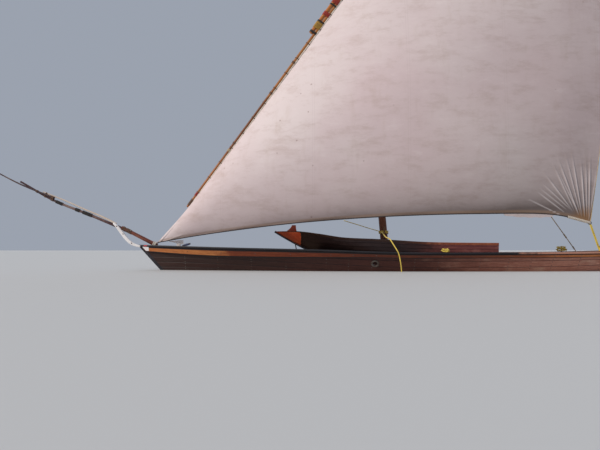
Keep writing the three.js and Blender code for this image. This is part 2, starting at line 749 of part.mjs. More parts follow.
// Shroud and backstay to windward, and the fall of the halyard down to its post on the mast thwart
function addRigging(parent) {
  const capTop = (x) => along(SHEER, x) + CAP_RAIL.thick + GAP;
  const shroudR = 7;
  // name, foot x and y on the cap rail, lift of the foot that lets its slanting end just clear the rail,
  // height of the head and the angle that it stands round the mast, from abeam towards the stern
  for (const [name, x, y, lift, headZ, round] of [
    ["shroud_fore", -20, 775, 2.3, 4880, 0],
    ["shroud_aft", 3040, 596, 4.5, 4900, 80],
  ]) {
    const out = mastRadius(headZ) + ROPE_R + GAP;
    const turn = THREE.MathUtils.degToRad(round);
    const head = mastPoint(headZ).add(new THREE.Vector3(out * Math.sin(turn), out * Math.cos(turn), 0));
    const foot = new THREE.Vector3(x, y, capTop(x) + lift);
    addTo(parent, name, spar(foot, head, shroudR, shroudR, 8), "paleRope");
  }
  const sheave = mastPoint(MAST.headZ - 14);
  sheave.add(new THREE.Vector3(45, 61, 0));
  const end = new THREE.Vector3(HALYARD_POST.x, HALYARD_POST.y, HALYARD_POST.top + 1.3);
  addTo(parent, "halyard_fall", spar(end, sheave, ROPE_R, ROPE_R, 8), "paleRope");
}

// The yard: two poles side by side where they are lashed, one carrying the sail's head below, one above
const yardLine = new THREE.Vector3().subVectors(YARD_PEAK, YARD_HEEL);
const yardUp = new THREE.Vector3(-yardLine.z, 0, yardLine.x).normalize();
const yardAt = (t, lift = 0) =>
  YARD_HEEL.clone().addScaledVector(yardLine, t).addScaledVector(yardUp, lift);
const lowerR = (t) => YARD_LOWER.heelR + ((YARD_LOWER.endR - YARD_LOWER.heelR) * t) / YARD_JOIN.to;
const upperR = (t) =>
  YARD_UPPER.footR + ((YARD_UPPER.peakR - YARD_UPPER.footR) * (t - YARD_JOIN.from)) / (1 - YARD_JOIN.from);
const lowerLift = (t) => (-YARD_LOWER.drop * t) / YARD_JOIN.to;
const joinLift = lowerLift(YARD_JOIN.to) + lowerR(YARD_JOIN.to) + upperR(YARD_JOIN.to) + GAP;
const upperLift = (t) => (joinLift * (1 - t)) / (1 - YARD_JOIN.to);

function lowerPole(extra = 0) {
  const end = YARD_JOIN.to;
  const radius = (t) => lowerR(t) + extra;
  return spar(yardAt(0, 0), yardAt(end, lowerLift(end)), radius(0), radius(end), YARD_SIDES);
}

function upperPole(extra = 0) {
  const foot = YARD_JOIN.from;
  const radius = (t) => upperR(t) + extra;
  return spar(yardAt(foot, upperLift(foot)), yardAt(1, 0), radius(foot), radius(1), YARD_SIDES);
}

// Distance from the yard's middle line down to the sail's head, under whichever pole carries it
function headDrop(t) {
  const below = lowerR(t) - lowerLift(t) + GAP;
  const above = upperR(t) - upperLift(t) + GAP;
  return below + (above - below) * THREE.MathUtils.smoothstep(t, YARD_JOIN.to + 0.006, YARD_JOIN.to + 0.05);
}

function addYard(parent) {
  addTo(parent, "yard_lower", lowerPole(), "yard");
  addTo(parent, "yard_upper", upperPole(), "yard");
  const poles = [lowerPole(2 * GAP), upperPole(2 * GAP)];
  const halfWidth = yardLine.clone().setLength(LASHINGS.width / 2);
  for (const [name, t] of [
    ["yard_lashing_lower", LASHINGS.lower],
    ["yard_lashing_upper", LASHINGS.upper],
  ]) {
    const wrap = (lift, r) => {
      const middle = yardAt(t, lift);
      const wide = r + LASHINGS.thick;
      return spar(middle.clone().sub(halfWidth), middle.clone().add(halfWidth), wide, wide, 14);
    };
    const bundle = join([wrap(lowerLift(t), lowerR(t)), wrap(upperLift(t), upperR(t))]);
    addTo(parent, name, cut(bundle, [...poles, sailSolid(1)]), "rope");
  }
  const at = yardAt(PARREL.at, lowerLift(PARREL.at));
  const bore = (mastRadius(at.z) + PARREL.clear) / Math.cos(Math.PI / MAST.sides);
  const outer = -at.y - lowerR(PARREL.at) + 12;
  const half = PARREL.height / 2;
  const ring = turned(
    [
      [bore, -half],
      [outer - 8, -half],
      [outer, -half + 8],
      [outer, half - 8],
      [outer - 8, half],
      [bore, half],
    ],
    MAST.sides,
  );
  addTo(parent, "parrel", cut(onMast(ring, at.z), [...poles, sailSolid(6)]), "rope");
  const tyeFoot = new THREE.Vector3(at.x - 30, at.y + 22, at.z + 62);
  const tyeHead = mastPoint(MAST.headZ - 11);
  const tyeEnd = new THREE.Vector3(tyeHead.x, -mastRadius(MAST.headZ) - ROPE_R - 6, tyeHead.z);
  addTo(parent, "halyard_tye", cut(spar(tyeFoot, tyeEnd, ROPE_R, ROPE_R, 8), poles), "paleRope");
}

// Sail: a runs from tack to clew along the foot, b from the foot up to the head on the yard
const footLine = new THREE.CatmullRomCurve3(FOOT, false, "centripetal");

function sailPoint(a, b, grow = 0) {
  const foot = footLine.getPoint(a);
  const head = yardAt(a, grow - headDrop(a));
  const point = foot.lerp(head, b);
  point.x += LEECH_ROACH * Math.sin(Math.PI * b) * a ** 3;
  point.y -= SAIL_BELLY * Math.sin(Math.PI * b ** 0.8) * Math.sin(Math.PI * a ** 0.9);
  return point;
}

function sailSolid(extra = 0) {
  const columns = span(0, 1, 20);
  const rows = span(0, 1, 14);
  const half = SAIL_THICK / 2 + extra;
  const side = (way) =>
    columns.map((a) =>
      rows.map((b) => {
        const p = sailPoint(a, b, extra);
        p.y += way * half;
        return p;
      }),
    );
  return slab(side(1), side(-1));
}

function addSail(parent) {
  addTo(parent, "sail", sailSolid(), "sail");
}

// Sheet from the clew to the belaying pin in the port rail
function addSheet(parent) {
  const from = new THREE.Vector3(CLEW.x + 6, CLEW.y, CLEW.z - 16);
  const to = new THREE.Vector3(PIN_PLACE.x - 18.8, -pinY, pinZ + 34);
  addTo(parent, "sheet", spar(to, from, ROPE_R, ROPE_R, 8), "rope");
}

// White curved knee that carries the bowsprit off the stem's port side
function addStemKnee(parent) {
  const middle = new THREE.CatmullRomCurve3(
    [
      [-4200, 0, 706],
      [-4140, 0, 640],
      [-4075, 0, 556],
      [-4005, 0, 468],
      [-3938, 0, 406],
      [-3870, 0, 372],
      [-3796, 0, 352],
    ].map((p) => new THREE.Vector3(...p)),
  );
  const edge = (way) =>
    span(0, 1, 12).map((t) => {
      const p = middle.getPointAt(t);
      const d = middle.getTangentAt(t);
      const half = 15 + 9 * Math.sin(Math.PI * t);
      return [p.x - way * half * d.z, p.z + way * half * d.x];
    });
  const halfThick = 19;
  const outline = [...edge(1), ...edge(-1).reverse()];
  addTo(parent, "stem_knee", plate(outline, halfThick, -CENTRE_HALF - halfThick - GAP), "white");
}

// Bitt on the foredeck, cleat on the mast, and the free rope with its stopper knot
function addDeckFittings(parent) {
  const bitt = { x: -3236, half: 27, top: 424 };
  const low = [bitt.x - bitt.half, -10, deckZ(bitt.x - bitt.half) + 1];
  addTo(parent, "fore_bitt", block(low, [bitt.x + bitt.half, 44, bitt.top]), "white");
  const cleatZ = 566;
  const at = mastPoint(cleatZ);
  const r = mastRadius(cleatZ);
  const cleat = [
    [at.x - 11, 480],
    [at.x + 11, 480],
    [at.x + 9, 650],
    [at.x - 11, 650],
  ];
  const body = plate(cleat, 14, -r - 10);
  addTo(parent, "mast_cleat", cut(body, [mastPiece(300, 800, 0.5)]), "frame");
  addTo(parent, "loose_rope", tube(LOOSE_ROPE, ROPE_R, 52), "rope");
  const tail = LOOSE_ROPE[LOOSE_ROPE.length - 1];
  const knot = new THREE.SphereGeometry(21, 12, 8);
  knot.scale(1, 1, 1.35);
  knot.translate(tail[0] + 3, tail[1], tail[2] - 28.4);
  addTo(parent, "rope_knot", bare(knot), "rope");
}

// Rudder on its raked hinge line: c is the distance behind the line, h the height along it
const hingeTilt = Math.atan(TRANSOM_RAKE);
const hingeX = TRANSOM_FOOT_X + TRANSOM_BOARD + GAP + POST_DEPTH + HINGE_OFF / Math.cos(hingeTilt);

function onHinge(geometry, h = 0) {
  geometry.translate(0, 0, h);
  geometry.rotateY(hingeTilt);
  geometry.translate(hingeX, 0, 0);
  return geometry;
}

const upright = (r, low, high, sides) =>
  spar(new THREE.Vector3(0, 0, low), new THREE.Vector3(0, 0, high), r, r, sides);

function tillerBar(extra) {
  const half = 12 + extra;
  const rise = 0.13;
  const rearX = hingeX + 390;
  const tipX = hingeX - 590;
  const z = (x) => 392 + (rearX - x) * rise;
  return ringLoft(
    [
      [rearX, 22],
      [hingeX - 60, 22],
      [tipX, 14],
    ].map(([x, high]) =>
      [
        [half, high + extra],
        [-half, high + extra],
        [-half, -high - extra],
        [half, -high - extra],
      ].map(([y, dz]) => new THREE.Vector3(x, y, z(x) + dz)),
    ),
  );
}

function addRudder(parent, carrier) {
  const blade = [
    [0, -488],
    [160, -412],
    [310, -338],
    [400, -292],
    [424, -230],
    [410, -120],
    [350, 20],
    [265, 150],
    [190, 280],
    [150, 390],
    [145, 500],
    [0, 500],
  ];
  const notches = Object.values(HINGE_HEIGHTS).map((h) =>
    upright(NOTCH_R, h - PIN.half - 10, h + PIN.half + PIN.rest + PIN.eyeHeight + GAP, 20),
  );
  const stock = upright(RUDDER_THICK / 2, -488, 500, 16);
  const wood = cut(join([plate(blade, RUDDER_THICK / 2), stock]), notches);
  addTo(parent, "rudder", cut(onHinge(wood), [tillerBar(GAP)]), "planks");
  addTo(parent, "tiller", tillerBar(0), "pole");
  for (const [place, h] of Object.entries(HINGE_HEIGHTS)) {
    const side = CENTRE_HALF;
    const front = -HINGE_OFF + GAP;
    const gudgeon = join([
      upright(PIN.ringR, -PIN.half, PIN.half, 20),
      block([front, -side - 6, -PIN.half], [-14, side + 6, PIN.half]),
      block([front - 78, side, -PIN.half], [-16, side + 6, PIN.half]),
      block([front - 78, -side - 6, -PIN.half], [-16, -side, PIN.half]),
    ]);
    const bore = upright(PIN.bore, -40, 40, 16);
    addTo(carrier, `gudgeon_${place}`, onHinge(cut(gudgeon, [bore]), h), "iron");
    const cheek = RUDDER_THICK / 2 + GAP;
    const low = PIN.half + PIN.rest;
    const pintle = join([
      upright(PIN.eyeR, low, low + PIN.eyeHeight, 20),
      upright(PIN.r, -PIN.half - 6, low + 4, 16),
      block([0, cheek, low], [170, cheek + 5.6, low + PIN.eyeHeight]),
      block([0, -cheek - 5.6, low], [170, -cheek, low + PIN.eyeHeight]),
    ]);
    addTo(parent, `pintle_${place}`, onHinge(pintle, h), "iron");
  }
}

// Bowsprit: a stout pole from the foredeck, a longer one lashed beside it, and thin poles to the tip
function addBowsprit(parent) {
  const poles = [
    {
      name: "inner",
      radii: [32, 27],
      steps: 1,
      colour: "pole",
      path: [
        [-3556, -6, 366.9],
        [-4092, -6, 640],
      ],
    },
    {
      name: "outer",
      radii: [25, 15],
      steps: 9,
      colour: "pole",
      path: [
        [-3950, 46.6, 562],
        [-4609, 44, 838],
        [-5142, 40, 1052],
        [-5656, 36, 1340],
      ],
    },
    {
      name: "tip",
      radii: [14, 9],
      steps: 5,
      colour: "greyPole",
      path: [
        [-5120, 8, 1085],
        [-5655, 9, 1302],
        [-6095, 10, 1528],
      ],
    },
  ];
  for (const { name, radii, steps, colour, path } of poles) {
    addTo(parent, `bowsprit_${name}`, bentPole(path, ...radii, steps), colour);
  }
}

const hull = new THREE.Group();
const rig = new THREE.Group();
const steering = new THREE.Group();
group.add(hull, rig, steering);

addBackbone(hull);
addPlanking(hull);
addTransom(hull);
addRails(hull);
addDecks(hull);
addFrames(hull);
addInside(hull);
addStrakes(hull);
addMast(hull);
addRigging(hull);
addBowsprit(hull);
addStemKnee(hull);
addSheet(hull);
addDeckFittings(hull);
addYard(rig);
addSail(rig);
addRudder(steering, hull);

export default group;
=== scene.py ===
"""Looks of a small lateen-rigged sailing dhow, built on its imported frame.

Metres, bow towards -X, port towards -Y, +Z up, and the waterline at z = 0.
"""

import math

import bmesh
import bpy
from mathutils import Matrix, Vector
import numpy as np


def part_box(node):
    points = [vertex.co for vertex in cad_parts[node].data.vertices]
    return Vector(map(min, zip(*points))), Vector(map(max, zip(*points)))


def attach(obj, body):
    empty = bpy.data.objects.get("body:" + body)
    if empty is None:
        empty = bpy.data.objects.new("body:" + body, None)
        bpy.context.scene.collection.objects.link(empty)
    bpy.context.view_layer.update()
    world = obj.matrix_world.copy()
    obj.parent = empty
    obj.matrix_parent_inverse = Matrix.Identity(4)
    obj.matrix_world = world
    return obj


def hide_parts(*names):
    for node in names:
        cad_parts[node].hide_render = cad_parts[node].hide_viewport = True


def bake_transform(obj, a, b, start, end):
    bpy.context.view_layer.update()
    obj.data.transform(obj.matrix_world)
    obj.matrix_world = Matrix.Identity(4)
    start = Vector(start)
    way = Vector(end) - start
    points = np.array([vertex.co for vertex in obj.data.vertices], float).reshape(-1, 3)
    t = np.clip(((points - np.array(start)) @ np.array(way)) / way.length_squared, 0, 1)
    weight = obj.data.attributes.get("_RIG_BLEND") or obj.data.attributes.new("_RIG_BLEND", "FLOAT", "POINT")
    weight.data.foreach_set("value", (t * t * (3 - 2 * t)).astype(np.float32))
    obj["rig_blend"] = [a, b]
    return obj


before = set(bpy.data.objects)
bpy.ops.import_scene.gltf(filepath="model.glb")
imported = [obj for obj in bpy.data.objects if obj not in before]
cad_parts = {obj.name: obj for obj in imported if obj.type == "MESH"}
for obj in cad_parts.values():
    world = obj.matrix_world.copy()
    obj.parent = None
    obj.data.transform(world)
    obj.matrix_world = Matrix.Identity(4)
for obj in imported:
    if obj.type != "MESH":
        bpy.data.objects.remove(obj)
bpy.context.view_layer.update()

# Camera: the photograph looks from low down, abeam of the port bow and about nine metres off.
# Its eye is a foot above the waterline and tilted up a little, which puts the hull below the middle.
EYE = Vector((-1.40, -8.9, 0.30))
PITCH_UP = math.radians(2.43)
FOCAL_PX = 589
PHOTO_WIDTH_PX = 600
SENSOR_MM = 36

camera_data = bpy.data.cameras.new("low_camera")
camera_data.sensor_width = SENSOR_MM
camera_data.lens = SENSOR_MM * FOCAL_PX / PHOTO_WIDTH_PX
camera_data.clip_end = 1000
camera = bpy.data.objects.new("low_camera", camera_data)
camera.location = EYE
camera.rotation_euler = (math.pi / 2 + PITCH_UP, 0, 0)
bpy.context.scene.collection.objects.link(camera)
bpy.context.scene.camera = camera


# Free rope: three-strand yellow polypropylene, made fast to the cleat on the mast.
# It hangs over the port wash strake and the rail, and ends below the waterline in a stopper knot.
ROPE_R = 0.008
STRAND_LAY = 7.0  # length of one twist, in rope diameters
ROPE_SIDES = 12
ROPE_STEP = 0.006
LOOSE_ROPE = [
    (-0.181, -0.096, 0.566), (-0.178, -0.150, 0.556), (-0.171, -0.260, 0.524), (-0.162, -0.400, 0.488),
    (-0.153, -0.540, 0.468), (-0.147, -0.608, 0.463), (-0.140, -0.648, 0.450), (-0.130, -0.676, 0.430),
    (-0.117, -0.705, 0.403), (-0.100, -0.741, 0.367), (-0.083, -0.780, 0.328), (-0.069, -0.815, 0.296),
    (-0.058, -0.838, 0.270), (-0.048, -0.848, 0.237), (-0.036, -0.851, 0.180), (-0.020, -0.848, 0.079),
    (-0.012, -0.843, -0.020), (-0.008, -0.840, -0.070),
]


def curve_point(points, share):
    """Point at a share of the way along the centripetal curve through the points, as the solids have it."""
    count = len(points) - 1
    place = min(max(share, 0), 1) * count
    i = min(int(place), count - 1)
    w = place - i
    b, c = Vector(points[i]), Vector(points[i + 1])
    a = Vector(points[i - 1]) if i else 2 * b - c
    d = Vector(points[i + 2]) if i + 2 <= count else 2 * c - b
    ab, bc, cd = (max((q - p).length, 1e-6) ** 0.5 for p, q in ((a, b), (b, c), (c, d)))
    out_of_b = ((b - a) / ab - (c - a) / (ab + bc) + (c - b) / bc) * bc
    into_c = ((c - b) / bc - (d - b) / (bc + cd) + (d - c) / cd) * bc
    return (
        b
        + out_of_b * w
        + (3 * (c - b) - 2 * out_of_b - into_c) * w ** 2
        + (2 * (b - c) + out_of_b + into_c) * w ** 3
    )


def spaced(line, step):
    """Points about a step apart along a line of closer points."""
    far = [0.0]
    for p, q in zip(line, line[1:]):
        far.append(far[-1] + (q - p).length)
    count = max(round(far[-1] / step), 2)
    even, i = [], 0
    for k in range(count + 1):
        want = far[-1] * k / count
        while i < len(line) - 2 and far[i + 1] < want:
            i += 1
        even.append(line[i].lerp(line[i + 1], min((want - far[i]) / max(far[i + 1] - far[i], 1e-9), 1)))
    return even


def curve_line(points, step):
    dense = [curve_point(points, k / 400) for k in range(401)]
    return spaced(dense, step)


def new_shape():
    """Empty mesh with a surface map in metres, a tone for each board, and a mark for dark places."""
    shape = bmesh.new()
    shape.loops.layers.uv.new("surface")
    shape.verts.layers.float.new("tone")
    shape.verts.layers.float.new("mark")
    return shape


def loft(shape, rings, tone=0.0, marks=None):
    """Closed skin through rings of points, capped at both ends; the map's v runs from ring to ring."""
    surface = shape.loops.layers.uv["surface"]
    tones, spots = shape.verts.layers.float["tone"], shape.verts.layers.float["mark"]
    count = len(rings[0])
    rows, around, along = [], [], [0.0]
    for i, ring in enumerate(rings):
        row = [shape.verts.new(p) for p in ring]
        for k, vert in enumerate(row):
            vert[tones] = tone
            vert[spots] = marks[k] if marks else 0.0
        rows.append(row)
        lengths = [0.0]
        for k in range(count):
            lengths.append(lengths[-1] + (Vector(ring[(k + 1) % count]) - Vector(ring[k])).length)
        around.append(lengths)
        if i:
            step = max((Vector(p) - Vector(q)).length for p, q in zip(ring, rings[i - 1]))
            along.append(along[-1] + step)
    faces = []
    for i in range(len(rings) - 1):
        for k in range(count):
            n = (k + 1) % count
            face = shape.faces.new((rows[i][k], rows[i][n], rows[i + 1][n], rows[i + 1][k]))
            places = ((i, k), (i, k + 1), (i + 1, k + 1), (i + 1, k))
            for loop, (r, c) in zip(face.loops, places):
                loop[surface].uv = (around[r][c], along[r])
            faces.append(face)
    faces.append(shape.faces.new(tuple(reversed(rows[0]))))
    faces.append(shape.faces.new(tuple(rows[-1])))
    volume = 0.0
    for face in faces:
        corners = [v.co for v in face.verts]
        for p, q in zip(corners[1:], corners[2:]):
            volume += corners[0].dot(p.cross(q))
    if volume < 0:
        bmesh.ops.reverse_faces(shape, faces=faces)
    return faces


def piece(shape, name, material, body, replaces=(), sharp=35):
    """Object at the origin from a finished shape, riding on its body if it has one alone."""
    bmesh.ops.remove_doubles(shape, verts=shape.verts, dist=2e-6)
    mesh = bpy.data.meshes.new(name)
    shape.to_mesh(mesh)
    shape.free()
    mesh.shade_smooth()
    mesh.set_sharp_from_angle(angle=math.radians(sharp))
    made = bpy.data.objects.new(name, mesh)
    bpy.context.scene.collection.objects.link(made)
    mesh.materials.append(material)
    if body:
        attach(made, body)
    if replaces:
        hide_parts(*replaces)
    return made


def laid_rope(shape, line, radius, strands=3, sides=ROPE_SIDES, tone=0.0):
    """Twisted rope along a line of even points: each strand is a lobe of the section."""
    lay = STRAND_LAY * 2 * radius
    across = None
    rings, run = [], 0.0
    for i, p in enumerate(line):
        ahead = (line[min(i + 1, len(line) - 1)] - line[max(i - 1, 0)]).normalized()
        if across is None:
            across = ahead.orthogonal().normalized()
        across = (across - ahead * across.dot(ahead)).normalized()
        beside = ahead.cross(across)
        if i:
            run += (p - line[i - 1]).length
        turn = 2 * math.pi * run / lay
        ring = []
        for k in range(sides):
            angle = 2 * math.pi * k / sides
            lobe = abs(math.cos(strands * (angle - turn) / 2))
            r = radius * (0.80 + 0.20 * lobe ** 0.6)
            ring.append(p + across * (r * math.cos(angle)) + beside * (r * math.sin(angle)))
        rings.append(ring)
    return loft(shape, rings, tone)


def linear(hex_colour):
    """Scene colour from an sRGB hex value."""
    parts = [int(hex_colour[i:i + 2], 16) / 255 for i in (1, 3, 5)]
    return (*[p / 12.92 if p <= 0.04045 else ((p + 0.055) / 1.055) ** 2.4 for p in parts], 1)


# Kinds of node that come often; a mix of colours takes them in sockets 6 and 7, and its output is the third
NOISE, MATH, RAMP, MIX = "ShaderNodeTexNoise", "ShaderNodeMath", "ShaderNodeValToRGB", "ShaderNodeMix"
RGBA = {"data_type": "RGBA", "give": 2}


def node(tree, kind, inputs=(), give=0, stops=(), **settings):
    """Adds a node, sets it, links or fills the inputs named, and gives one of its outputs.

    A ramp's stops are (place, hex colour or grey level).
    """
    made = tree.nodes.new(kind)
    for name, value in settings.items():
        setattr(made, name, value)
    for key, value in dict(inputs).items():
        if isinstance(value, bpy.types.NodeSocket):
            tree.links.new(value, made.inputs[key])
        elif isinstance(value, str) and value[0] == "#":
            made.inputs[key].default_value = linear(value)
        else:
            made.inputs[key].default_value = value
    points = made.color_ramp.elements if stops else ()
    while len(points) < len(stops):
        points.new(1.0)
    for point, (place, value) in zip(points, stops):
        point.position = place
        point.color = linear(value) if isinstance(value, str) else (value, value, value, 1)
    return made.outputs[give]


def new_material(name, roughness, **sockets):
    """Material with its uniform values set on the shader's own sockets."""
    material = bpy.data.materials.new(name)
    material.use_nodes = True
    tree = material.node_tree
    shader = tree.nodes["Principled BSDF"]
    shader.inputs["Roughness"].default_value = roughness
    for socket, value in sockets.items():
        shader.inputs[socket.replace("_", " ")].default_value = value
    return material, tree, shader


def rope_fibre(name, light, dark, dirt):
    """Laid rope: bright crowns on the strands, dirt in the lay between them, loose fibres along each strand.

    Fibres are about 1.1 mm across and 8 mm long, and patches of dirt 110 mm.
    """
    material, tree, shader = new_material(name, 0.72, Sheen_Weight=0.25, Sheen_Roughness=0.5)
    surface = node(tree, "ShaderNodeUVMap", uv_map="surface")
    stretched = node(tree, "ShaderNodeMapping", {"Vector": surface, "Scale": (900, 120, 1)})
    fibres = node(tree, NOISE, {"Vector": stretched, "Scale": 1, "Detail": 3})
    along = node(tree, NOISE, {"Vector": surface, "Scale": 9, "Detail": 4})
    hollow = node(tree, "ShaderNodeNewGeometry", give="Pointiness")
    crown = node(tree, RAMP, {0: hollow}, stops=[(0.44, 0.0), (0.53, 1.0)])
    clean = node(tree, MIX, {0: fibres, 6: dark, 7: light}, **RGBA)
    lay = node(tree, MIX, {0: 0.55, 6: clean, 7: dirt}, **RGBA)
    lined = node(tree, MIX, {0: crown, 6: lay, 7: clean}, **RGBA)
    handled = node(tree, RAMP, {0: along}, stops=[(0.45, 0.0), (0.75, 0.6)])
    soiled = node(tree, MIX, {0: handled, 6: lined, 7: dirt}, **RGBA)
    tree.links.new(soiled, shader.inputs["Base Color"])
    bump = node(tree, "ShaderNodeBump", {"Height": fibres, "Strength": 0.5, "Distance": 0.0008})
    tree.links.new(bump, shader.inputs["Normal"])
    return material


# Twisted polypropylene: slightly glossy yellow film fibres that hold grey dirt in the lay
yellow_rope = rope_fibre("twisted_yellow_polypropylene", "#F4DC5C", "#DDB83C", "#84703C")

rope_line = curve_line(LOOSE_ROPE, ROPE_STEP)
rope_shape = new_shape()
laid_rope(rope_shape, rope_line, ROPE_R)
loose_rope = piece(rope_shape, "trailing_rope", yellow_rope, "hull", ["loose_rope"], 80)


def knot_line(centre, size, step):
    """Closed line of an overhand knot, drawn up tight."""
    line = []
    for k in range(241):
        t = 2 * math.pi * k / 240
        spread = 0.46 + 0.20 * math.cos(3 * t)
        line.append(centre + Vector((
            spread * size.x * math.cos(2 * t),
            spread * size.y * math.sin(2 * t),
            0.42 * size.z * math.sin(3 * t) + 0.30 * size.z * math.cos(t),
        )))
    return spaced(line, step)


knot_low, knot_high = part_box("rope_knot")
knot_shape = new_shape()
laid_rope(knot_shape, knot_line((knot_low + knot_high) / 2, knot_high - knot_low, 0.004), ROPE_R * 0.95)
rope_knot = piece(knot_shape, "stopper_knot", yellow_rope, "hull", ["rope_knot"], 80)


# Hull planking: carvel planks of red-brown hardwood on each side, bent round the frames and caulked.
# They are dark at the bow and pale aft, partly their own wet and dry tone and partly painted shade forward
# and painted sunlight aft.
HALF_BEAM = 0.800
CENTRE_HALF = 0.035
PLANK = 0.024
RABBET_Z = -0.330
WIDEST = 0.53
TRANSOM_SHARE = 0.58
STEM_FOOT_X, STEM_RAKE = -3.440, 0.92
TRANSOM_FOOT_X, TRANSOM_RAKE = 3.567, 0.49
SHEER = [
    (-3.764, 0.352), (-2.500, 0.313), (-1.200, 0.281), (0.000, 0.243),
    (1.300, 0.240), (2.600, 0.247), (3.705, 0.275),
]
FULLNESS = [(-3.764, 0.95), (-2.400, 0.72), (-0.900, 0.48), (0.900, 0.42), (2.500, 0.47), (3.705, 0.60)]
PLANKS_A_SIDE = 9
SEAM_DEPTH = 0.0045
SEAM_HALF = 0.006
HULL_STATIONS = [k / 72 for k in range(73)]
SIDES = (("starboard", 1), ("port", -1))


def table_value(table, x):
    """Smooth curve through a table of place and value."""
    last = len(table) - 1
    if x <= table[0][0]:
        return table[0][1]
    if x >= table[last][0]:
        return table[last][1]
    i = next(k for k in range(last) if x <= table[k + 1][0])

    def slope(a, b):
        return (table[b][1] - table[a][1]) / (table[b][0] - table[a][0])

    leaving = slope(i - 1, i + 1) if i > 0 else slope(0, 1)
    reaching = slope(i, i + 2) if i + 1 < last else slope(last - 1, last)
    h = table[i + 1][0] - table[i][0]
    t = (x - table[i][0]) / h
    return (
        table[i][1] * (2 * t ** 3 - 3 * t ** 2 + 1)
        + table[i + 1][1] * (3 * t ** 2 - 2 * t ** 3)
        + leaving * h * (t ** 3 - 2 * t ** 2 + t)
        + reaching * h * (t ** 3 - t ** 2)
    )


def sheer_x(s):
    return SHEER[0][0] + (SHEER[-1][0] - SHEER[0][0]) * s


def half_breadth(s):
    fullest = HALF_BEAM - CENTRE_HALF
    if s < WIDEST:
        return CENTRE_HALF + fullest * (1 - ((WIDEST - s) / WIDEST) ** 2.1)
    return CENTRE_HALF + fullest * (1 - (1 - TRANSOM_SHARE) * ((s - WIDEST) / (1 - WIDEST)) ** 2.2)


def hull_ends(z):
    """Places of the stem and the transom at a level."""
    return STEM_FOOT_X - STEM_RAKE * z, TRANSOM_FOOT_X + TRANSOM_RAKE * z


def hull_point(s, u):
    """Outer face of the planking: s from stem to transom, u from the rabbet up to the sheer."""
    top = table_value(SHEER, sheer_x(s))
    z = RABBET_Z + (top - RABBET_Z) * u
    y = CENTRE_HALF + (half_breadth(s) - CENTRE_HALF) * max(u, 0) ** table_value(FULLNESS, sheer_x(s))
    front, back = hull_ends(z)
    return Vector((front + s * (back - front), y, z))


def hull_offset(s, u, distance, level=False):
    """Point at a distance outside (or, negative, inside) the planking's outer face."""
    step = 1e-3
    s0 = min(max(s, step), 1 - step)
    u0 = min(max(u, 0.02), 1 - step)
    ds = hull_point(s0 + step, u0) - hull_point(s0 - step, u0)
    du = hull_point(s0, u0 + step) - hull_point(s0, u0 - step)
    normal = ds.cross(du)
    if normal.y < 0:
        normal.negate()
    if level or u >= 1:
        normal.z = 0
    point = hull_point(s, u) + normal.normalized() * distance
    point.y = max(point.y, CENTRE_HALF)
    return point


def breadth_at(x, z, inside):
    """Half breadth at a place along the boat and a level, at a distance inside the planking's outer face."""
    front, back = hull_ends(z)
    s = (x - front) / (back - front)
    top = table_value(SHEER, sheer_x(s))
    return hull_offset(s, min((z - RABBET_Z) / (top - RABBET_Z), 1), -inside).y


def girth_levels(s):
    """Levels and distances up the side at a station, for finding a place by its girth."""
    levels = [(k / 60) ** 2 for k in range(61)]
    far = [0.0]
    for low, high in zip(levels, levels[1:]):
        far.append(far[-1] + (hull_point(s, high) - hull_point(s, low)).length)
    return levels, far


def level_at(girth, distance):
    levels, far = girth
    for k in range(len(far) - 1):
        if far[k + 1] >= distance:
            share = (distance - far[k]) / max(far[k + 1] - far[k], 1e-9)
            return levels[k] + (levels[k + 1] - levels[k]) * share
    return 1.0


def other_side(p):
    return Vector((p[0], -p[1], p[2]))


def on_side(points, way):
    """Points made for starboard, mirrored where they are wanted to port."""
    return points if way > 0 else [other_side(p) for p in points]


def stations(front, back, count):
    """Places from front to back, a count of equal steps apart."""
    return [front + (back - front) * k / count for k in range(count + 1)]


DRAWN_OUT = 0.07
LENGTH_ENDS = {"From Min": -3.6, "From Max": 3.6}  # places of the first and last colour by length


